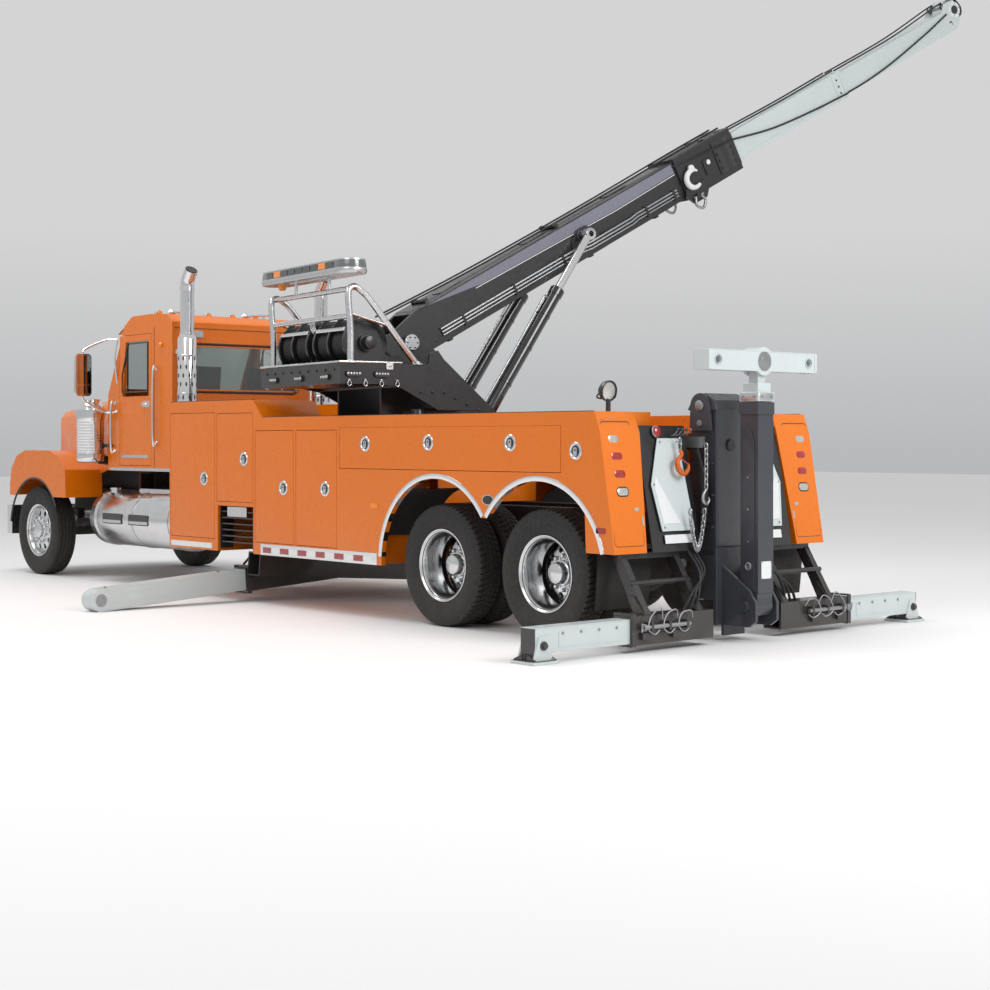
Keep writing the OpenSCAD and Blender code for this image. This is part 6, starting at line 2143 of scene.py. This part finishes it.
# ---- outriggers and underlift
@dataclass
class Outriggers:
    """Dressing of the outriggers: decals left blank, stop bolts, pins on cords, pads, ribs and hoses.

    Attributes:
        front_x: Places of the left and the right front beam.
        front_width: Width of a front beam.
        front_depth: Its depth.
        front_slope: Its slope in degrees.
        reach: Reach of the front beams.
        rear_x: Place of the rear beams.
        rear_width: Width of a rear beam.
        rear_z: Underside and top of a rear beam.
    """

    front_x: tuple[float, float] = (3.9, 3.675)
    front_width: float = 0.19
    front_depth: float = 0.21
    front_slope: float = 4.0
    reach: float = 2.96
    rear_x: float = -1.71
    rear_width: float = 0.15
    rear_z: tuple[float, float] = (0.075, 0.265)

    def build(self) -> None:
        """Makes the pieces of both sides."""
        for i, (name, place) in enumerate((("left", TRUCK), ("right", TRUCK.mirrored()))):
            self._front(place, name, self.front_x[i])
            self._rear(place, name)
        self._housings()

    def _front(self, place: Place, name: str, x: float) -> None:
        """Front beam: rolled edge seams, an end ring round the foot, stop bolts and the mouth of its tube.

        Args:
            place: Axes of the side.
            name: Side, left or right.
            x: Middle of the beam along the truck.
        """
        shape = Shape(place)
        end = self.front_depth / 2 + 0.003
        slope = tan(radians(self.front_slope))
        half = self.front_width / 2

        def top(y: float) -> float:
            """Height of the beam's upper face at a place across the truck."""
            return end + (self.reach - end - y) * slope + self.front_depth / 2

        for s in (-1, 1):
            for lift in (0, -self.front_depth):
                shape.ink(0).tube([(x + s * half, 1.46, top(1.46) + lift),
                    (x + s * half, 2.84, top(2.84) + lift)], 0.0045, 6)
            shape.ink(1).revolve([(0, 0.062), (0.006, 0.058), (0.006, 0.03), (0.012, 0.026), (0.012, 0)],
                (x + s * (half + 0.003), self.reach - end, end), (s, 0, 0), 28)
            shape.ink(0).prism(np.array([(1.75, top(1.75) - 0.065), (2.55, top(2.55) - 0.065),
                (2.55, top(2.55) - 0.14), (1.75, top(1.75) - 0.14)]), YZ, x + s * half,
                x + s * (half + 0.0025))
        for y in (1.5, 2.76):
            shape.ink(1).bolt((x, y, top(y)), (0, 0, 1), 0.016, 0.012, 0.002)
        shape.build(f"front_beam_trim_{name}", f"front_leg_{name}", (GREY, STEEL))
        mouth = Shape(place)
        y0 = 1.205
        ring = rounded_box(self.front_width + 0.052, self.front_depth + 0.052, 0.012, 3)
        tall = np.array([x, top(y0) - self.front_depth / 2])
        rings = [np.stack([ring[:, 0] * k + tall[0], np.full(len(ring), yy), ring[:, 1] * k + tall[1]], 1)
            for yy, k in ((y0 - 0.03, 1), (y0 - 0.03, 1.09), (y0 + 0.02, 1.09), (y0 + 0.02, 1))]
        mouth.ink(0).surface(np.stack(rings), loop_v=True)
        for k in range(2):
            mouth.ink(1).bend([(x - 0.05 + 0.1 * k, 1.16, 0.37), (x - 0.1, 1.1, 0.52),
                (x - 0.12, 0.92, 0.6), (x - 0.1, 0.62, 0.8)], 0.012, 8, 8)
        mouth.build(f"front_tube_trim_{name}", "chassis", (BLACK, HOSE))

    def _rear(self, place: Place, name: str) -> None:
        """Rear beam: edge seams, bolts, the foot's hinge pin, its clips and a ribbed pad.

        Args:
            place: Axes of the side.
            name: Side, left or right.
        """
        shape = Shape(place)
        x, half = self.rear_x, self.rear_width / 2
        z0, z1 = self.rear_z
        for s in (-1, 1):
            for z in (z0 + 0.004, z1 - 0.004):
                shape.ink(0).tube([(x + s * half, 1.37, z), (x + s * half, 2.335, z)], 0.0045, 6)
            shape.ink(0).block((x + s * half, 1.46, z0 + 0.035), (x + s * (half + 0.0035), 2.1,
                z1 - 0.035), 0.012, YZ)
            for k in range(4):
                shape.ink(1).bolt((x + s * (half + 0.0035), 1.5 + 0.187 * k, z1 - 0.052), (s, 0, 0), 0.012,
                    0.008)
            shape.ink(2).revolve([(0, 0), (0, 0.034), (0.012, 0.033), (0.014, 0.022), (0.03, 0.02),
                (0.031, 0)], (x + s * (half + 0.02), 2.27, 0.135), (s, 0, 0), 20)
            for y in (2.17, 2.37):
                shape.ink(2).prism([(x + s * 0.02, 0.024), (x + s * 0.115, 0.024), (x + s * 0.115, 0.034),
                    (x + s * 0.03, 0.07)], XZ, y - 0.005, y + 0.005)
        shape.ink(2).block((x - 0.128, 2.142, 0.0015), (x + 0.128, 2.398, 0.028), 0.045, XY)
        shape.prism([(2.335, 0.075), (2.342, 0.08), (2.342, 0.26), (2.335, 0.265)], YZ, x - half, x + half)
        for dx, dy in ((-0.1, 2.18), (0.1, 2.18), (-0.1, 2.36), (0.1, 2.36)):
            shape.ink(1).revolve([(0, 0.014), (0.01, 0.012), (0.011, 0)], (x + dx, dy, 0.028), (0, 0, 1), 6)
        shape.build(f"rear_beam_trim_{name}", f"rear_leg_{name}", (GREY, STEEL, BLACK))

    def _housings(self) -> None:
        """Rear housings: mouth rings, locking pins on cord loops, gussets, welds and hydraulic hoses."""
        shape = Shape()
        x = self.rear_x
        for s in (-1, 1):
            rear = x - self.rear_width / 2 - 0.02
            ring = rounded_box(self.rear_width + 0.045, 0.245, 0.01, 3) + np.array([x, 0.1775])
            rings = [np.stack([(ring[:, 0] - x) * k + x, np.full(len(ring), s * y),
                (ring[:, 1] - 0.1775) * k + 0.1775], 1) for y, k in ((1.31, 0.97), (1.31, 1.05),
                (1.352, 1.05), (1.352, 0.9))]
            shape.ink(0).surface(np.stack(rings), loop_v=True)
            for y in (0.86, 1.2):
                shape.ink(0).block((rear - 0.03, s * (y - 0.06), 0.1),
                    (rear + 0.002, s * (y + 0.06), 0.155), 0.012, YZ)
            shape.ink(1).rod((rear - 0.042, s * 0.74, 0.2), (rear - 0.042, s * 1.24, 0.2), 0.018, 16)
            shape.rod((rear - 0.042, s * 1.24, 0.2), (rear - 0.042, s * 1.27, 0.2), 0.028, 16)
            shape.bend([(rear - 0.042, s * 1.27, 0.2), (rear - 0.06, s * 1.3, 0.235),
                (rear - 0.05, s * 1.29, 0.165)], 0.005, 8, 6, True)
            for k, y in enumerate((0.78, 0.98, 1.18)):
                shape.ink(0).block((rear - 0.06, s * (y - 0.014), 0.165),
                    (rear + 0.002, s * (y + 0.014), 0.235), 0.008, YZ)
            for k in range(3):
                cord = [(rear - 0.03, s * (0.7 + 0.17 * k), 0.245),
                    (rear - 0.05, s * (0.74 + 0.17 * k), 0.3 + 0.02 * k),
                    (rear - 0.045, s * (0.84 + 0.17 * k), 0.285), (rear - 0.052, s * (0.88 + 0.17 * k),
                    0.19), (rear - 0.04, s * (0.8 + 0.17 * k), 0.14),
                    (rear - 0.036, s * (0.74 + 0.17 * k), 0.17)]
                shape.ink(2).bend(cord, 0.0055, 8, 8)
            for y in (0.53, 1.13):
                web = [(x - 0.055, 0.282), (x + 0.055, 0.282), (x + 0.13, 0.42), (x + 0.06, 0.42)]
                shape.ink(0).prism(web, XZ, s * (y - 0.045), s * (y + 0.045))
            shape.ink(0).rod((x + 0.1, s * 0.5, 0.52), (x + 0.1, s * 1.18, 0.52), 0.022, 16)
            for k in range(3):
                hose = [(x + 0.16, s * (0.44 - 0.04 * k), 0.74), (x + 0.02, s * (0.46 - 0.03 * k), 0.58),
                    (x - 0.03, s * (0.52 + 0.04 * k), 0.42), (x - 0.02, s * (0.56 + 0.07 * k), 0.285)]
                shape.ink(3).bend(hose, 0.012, 8, 8)
            shape.ink(1).revolve([(0, 0.04), (0.01, 0.038), (0.012, 0)], (-1.515, s * 0.47, 0.64),
                (-1, 0, 0), 24)
        shape.build("outrigger_fittings", "chassis", (BLACK, STEEL, CORD, HOSE), 0.001)


@dataclass
class Underlift:
    """Dressing of the underlift: tail panels, mast head, pins, chains, hooks, plates, lamps and hoses.

    Attributes:
        mast_x: Rear and front face of the mast.
        mast_half: Half width of the mast.
        mast_top: Top of the mast.
        stinger_x: Middle of the stinger.
        stinger_half: Half width of the stinger.
        stinger_top: Mouth of the stinger's outer tube.
        cross_z: Middle of the crossbar.
        cross_half: Half length of the crossbar.
    """

    mast_x: tuple[float, float] = (-1.62, -1.34)
    mast_half: float = 0.18
    mast_top: float = 2.03
    stinger_x: float = -1.9
    stinger_half: float = 0.095
    stinger_top: float = 1.95
    cross_z: float = 2.28
    cross_half: float = 0.67

    def build(self) -> None:
        """Makes all the pieces."""
        self._panels()
        self._mast()
        self._stinger()
        self._slide()
        self._crossbar()
        self._chains()

    def _panels(self) -> None:
        """Slanted panels beside the mast: pale covers with studs, levers and a red lamp."""
        shape = Shape()
        for s in (-1, 1):
            face = [(-1.56, 0.745), (-1.372, 1.76), (-1.352, 1.76), (-1.54, 0.745)]
            shape.ink(0).prism(face, XZ, s * 0.3, s * 0.86)
            lower, upper = np.array([-1.566, 0, 0.79]), np.array([-1.4, 0, 1.69])
            slope = (upper - lower) / np.linalg.norm(upper - lower)
            out = np.array([-slope[2], 0, slope[0]])

            def at(y: float, t: float, lift: float) -> Array:
                """A point on the panel: out from the middle, up the slope and off the face."""
                return lower + slope * t + out * lift + np.array([0, s * y, 0])

            def plate(points: Sequence[tuple[float, float]], thick: float, ink: int,
                    start: float = 0) -> None:
                """A flat plate on the panel, from its outline."""
                low = np.stack([at(y, t, start) for y, t in points])
                high = np.stack([at(y, t, start + thick) for y, t in points])
                shape.ink(ink).surface(np.stack([low, high]), loop_v=True, caps=True)

            plate([(0.36, 0.12), (0.74, 0.12), (0.8, 0.5), (0.66, 0.88), (0.42, 0.88)], 0.008, 1)
            plate([(0.52, 0.18), (0.72, 0.18), (0.77, 0.49), (0.74, 0.56)], 0.004, 2, 0.008)
            plate([(0.38, 0.02), (0.72, 0.02), (0.72, 0.09), (0.38, 0.09)], 0.006, 2)
            for y, t in ((0.39, 0.15), (0.71, 0.15), (0.77, 0.5), (0.64, 0.85), (0.44, 0.85)):
                shape.ink(3).bolt(at(y, t, 0.008), out, 0.01, 0.007)
            shape.ink(4).revolve([(0, 0.044), (0.012, 0.044), (0.028, 0.036), (0.034, 0.02), (0.035, 0)],
                at(0.66, 0.935, 0), out, 24)
            shape.ink(3).revolve([(0, 0.05), (0.008, 0.05), (0.012, 0.044)], at(0.66, 0.935, 0), out, 24)
            for k in range(4):
                y = 0.34 + 0.05 * k
                path = np.stack([at(y, 0.9, 0), at(y, 0.905, 0.05), at(y, 0.93, 0.085)])
                shape.ink(3).tube(path, 0.006, 8)
                shape.ink(4 if k == 0 else 0).ball(at(y, 0.935, 0.09), 0.014, 10)
        shape.build("tail_panels", "chassis", (BLACK, GREY, WHITE_PAINT, STEEL, RED_LENS), 0.0015)

    def _mast(self) -> None:
        """Mast head with rounded cheeks and a sheave, side ribs, bolts and hoses down its flanks."""
        shape = Shape()
        x0, x1 = self.mast_x
        h, top = self.mast_half, self.mast_top
        for s in (-1, 1):
            cheek = np.concatenate([circle(0.105, 18, 0, pi * 0.999) + [-1.475, top - 0.105],
                [[x0 + 0.02, 1.72], [x1 - 0.02, 1.72]]])
            shape.ink(0).prism(cheek, XZ, s * (h + 0.018), s * (h + 0.04))
            shape.ink(1).revolve([(0, 0), (0, 0.046), (0.014, 0.044), (0.018, 0.03), (0.019, 0)],
                (-1.475, s * (h + 0.04), top - 0.105), (0, s, 0), 28)
            shape.revolve([(0, 0), (0, 0.026), (0.012, 0.024), (0.013, 0)], (-1.475, s * (h + 0.04), 1.78),
                (0, s, 0), 20)
            for z in (0.92, 1.18, 1.44):
                shape.ink(0).prism([(x0 + 0.02, z), (x1 - 0.02, z), (x1 - 0.02, z + 0.02),
                    (x0 + 0.02, z + 0.02)], XZ, s * h, s * (h + 0.026))
            for k in range(3):
                hose = [(x1 + 0.05 - 0.03 * k, s * (h + 0.1), 1.56),
                    (x0 + 0.16, s * (h + 0.075), 1.6 - 0.02 * k), (x0 + 0.09 - 0.02 * k, s * (h + 0.075),
                    1.3), (x0 + 0.09 - 0.02 * k, s * (h + 0.085), 0.95), (x0 + 0.14, s * (h + 0.13), 0.8)]
                shape.ink(2).bend(hose, 0.013, 8, 8)
        shape.ink(0).rod((x0 - 0.004, 0, 1.6), (x0 - 0.014, 0, 1.6), 0.05, 24)
        shape.build("mast_fittings", "chassis", (SLATE, STEEL, HOSE), 0.002)

    def _stinger(self) -> None:
        """Stinger tube: side plates, round bright plugs, a blank white plate, bolts and a collar."""
        shape = Shape()
        x, w, top = self.stinger_x, self.stinger_half, self.stinger_top
        for s in (-1, 1):
            plate = [(x - 0.06, 0.42), (x + 0.06, 0.42), (x + 0.06, 1.6), (x + 0.03, 1.72),
                (x - 0.03, 1.72), (x - 0.06, 1.6)]
            shape.ink(0).prism(plate, XZ, s * w, s * (w + 0.01))
            shape.ink(1).revolve([(0, 0.034), (0.01, 0.034), (0.013, 0.026), (0.01, 0.018), (0.01, 0)],
                (x, s * (w + 0.01), 0.62), (0, s, 0), 28)
            for z in (0.82, 1.08, 1.34):
                shape.ink(1).bolt((x, s * (w + 0.01), z), (0, s, 0), 0.011, 0.009)
        shape.ink(2).block((x - w - 0.006, -0.06, 0.52), (x - w, 0.06, 0.66), 0.008, YZ)
        for y in (-0.05, 0.05):
            for z in (0.53, 0.65):
                shape.ink(1).revolve([(0, 0.005), (0.003, 0.004), (0.0035, 0)], (x - w - 0.006, y, z),
                    (-1, 0, 0), 8)
        ring = rounded_box(2 * w + 0.02, 2 * w + 0.02, 0.015, 4)
        rings = [np.stack([ring[:, 0] * k + x, ring[:, 1] * k, np.full(len(ring), z)], 1) for z,
            k in ((top - 0.1, 0.93), (top - 0.1, 1), (top - 0.003, 1), (top - 0.001, 0.9))]
        shape.ink(0).surface(np.stack(rings), loop_v=True)
        shape.build("stinger_fittings", "stinger", (SLATE, STEEL, WHITE_PAINT), 0.001)

    def _slide(self) -> None:
        """Bright collar of the inner tube, with its clamp bolts and a grease nipple."""
        shape = Shape()
        x, z = self.stinger_x, self.stinger_top + 0.01
        ring = rounded_box(0.2, 0.2, 0.022, 5)
        rings = [np.stack([ring[:, 0] * k + x, ring[:, 1] * k, np.full(len(ring), zz)], 1) for zz,
            k in ((z, 0.9), (z, 1), (z + 0.018, 1.03), (z + 0.05, 1.03), (z + 0.066, 1), (z + 0.07, 0.82))]
        shape.ink(0).surface(np.stack(rings), loop_v=True)
        for s in (-1, 1):
            for y in (-0.06, 0.06):
                shape.ink(1).bolt((x + s * 0.097, y, z + 0.034), (s, 0, 0), 0.013, 0.01, 0.002)
                shape.bolt((x + y, s * 0.097, z + 0.034), (0, s, 0), 0.013, 0.01, 0.002)
        shape.build("stinger_collar", "stinger_slide", (BRUSHED, STEEL))

    def _crossbar(self) -> None:
        """Crossbar: end caps, round pivot plates, weld seams and rims of the fork sockets."""
        shape = Shape()
        x, z, half = self.stinger_x, self.cross_z, self.cross_half
        for s in (-1, 1):
            ring = rounded_box(0.166, 0.166, 0.012, 4)
            rings = [np.stack([ring[:, 0] * k + x, np.full(len(ring), s * y), ring[:, 1] * k + z], 1)
                for y, k in ((half - 0.03, 0.93), (half - 0.03, 1), (half - 0.002, 1), (half, 0.95))]
            shape.ink(0).surface(np.stack(rings), loop_v=True)
            shape.ink(1).revolve([(0, 0.08), (0.006, 0.078), (0.006, 0.044), (0.01, 0.04), (0.01, 0)],
                (x + s * 0.08, 0, z), (s, 0, 0), 36)
            for y in (-(half - 0.11), half - 0.11):
                shape.ink(0).revolve([(0, 0.04), (0.006, 0.042), (0.008, 0.04), (0.008, 0.038)],
                    (x + s * 0.08, y, z), (s, 0, 0), 28)
            for lift in (-0.078, 0.078):
                shape.ink(0).tube([(x + s * 0.079, -half + 0.03, z + lift),
                    (x + s * 0.079, half - 0.03, z + lift)], 0.004, 6)
        shape.build("crossbar_fittings", "crossbar", (GREY, STEEL))

    def _chains(self) -> None:
        """Chains with grab hooks beside the mast, and the orange tow hook with its red latch.

        A link is a tube along a stretched circle, and every second link is turned a quarter round the chain.
        """
        shape = Shape()
        for s in (-1, 1):
            x, y, z = -1.578, s * 0.272, 1.6
            shape.ink(0).block((x + 0.01, y - 0.012, z - 0.02), (-1.36, y + 0.012, z + 0.07))
            for k in range(9):
                self._link(shape.ink(0), np.array([x - 0.016, y, z - 0.01 - 0.041 * k]), k % 2 == 0)
            tip = z - 0.01 - 0.041 * 9
            hook = smooth_path([(x - 0.016, y, tip + 0.02), (x - 0.016, y + 0.03, tip - 0.02),
                (x - 0.016, y + 0.035, tip - 0.07), (x - 0.016, y, tip - 0.105),
                (x - 0.016, y - 0.035, tip - 0.075), (x - 0.016, y - 0.03, tip - 0.045)], 8)
            shape.ink(0).tube(hook, np.interp(np.linspace(0, 1, len(hook)), (0, 0.5, 1),
                (0.01, 0.016, 0.007)), 12)
            # orange hook on the panel
            x, y, z = -1.48, s * 0.47, 1.56
            bow = smooth_path([(x - 0.01, y, z), (x - 0.025, y, z - 0.04), (x - 0.035, y + 0.06, z - 0.09),
                (x - 0.045, y + 0.05, z - 0.165), (x - 0.05, y - 0.01, z - 0.19),
                (x - 0.045, y - 0.06, z - 0.15), (x - 0.04, y - 0.062, z - 0.11)], 8)
            shape.ink(1).tube(bow, np.interp(np.linspace(0, 1, len(bow)), (0, 0.45, 0.7, 1),
                (0.014, 0.022, 0.02, 0.009)), 14)
            shape.ink(2).tube([(x - 0.03, y + 0.03, z - 0.055), (x - 0.045, y - 0.055, z - 0.115)], 0.007, 8)
            for k in range(2):
                self._link(shape.ink(0), np.array([x - 0.006, y, z + 0.034 + 0.041 * k]), k % 2 == 0)
            for k in range(25):
                t = k / 24
                self._link(shape.ink(0), np.array([-1.6, s * (0.3 + 0.17 * t),
                    1.06 - 0.3 * sin(pi * t) ** 0.8]), k % 2 == 0)
        shape.build("chains_and_hooks", "chassis", (STEEL, HOOK_ORANGE, RED_LENS))

    @staticmethod
    def _link(shape: Shape, centre: Array, turned: bool) -> None:
        """A chain link standing on end.

        Args:
            shape: Piece to add to.
            centre: Its middle.
            turned: True for a link in the plane along the truck.
        """
        a = np.arange(20) * TAU / 20
        wide, tall = 0.014 * np.cos(a), 0.02 * np.sin(a) + 0.008 * np.sign(np.sin(a))
        zero = np.zeros(20)
        path = np.stack([wide if turned else zero, zero if turned else wide, tall], 1) + centre
        shape.tube(path, 0.0062, 8, loop=True)


def main() -> None:
    """Builds the whole truck and its studio."""
    logging.basicConfig(level=logging.INFO, format="%(message)s")
    for part in (Wheels(), Cab(), Nose(), ToolBody(), Turret(), Boom(), Cylinders(), Outriggers(),
            Underlift()):
        LOG.info("building %s", type(part).__name__)
        part.build()
    Skins().build()
    Studio().build()


if __name__ == "__main__":
    main()
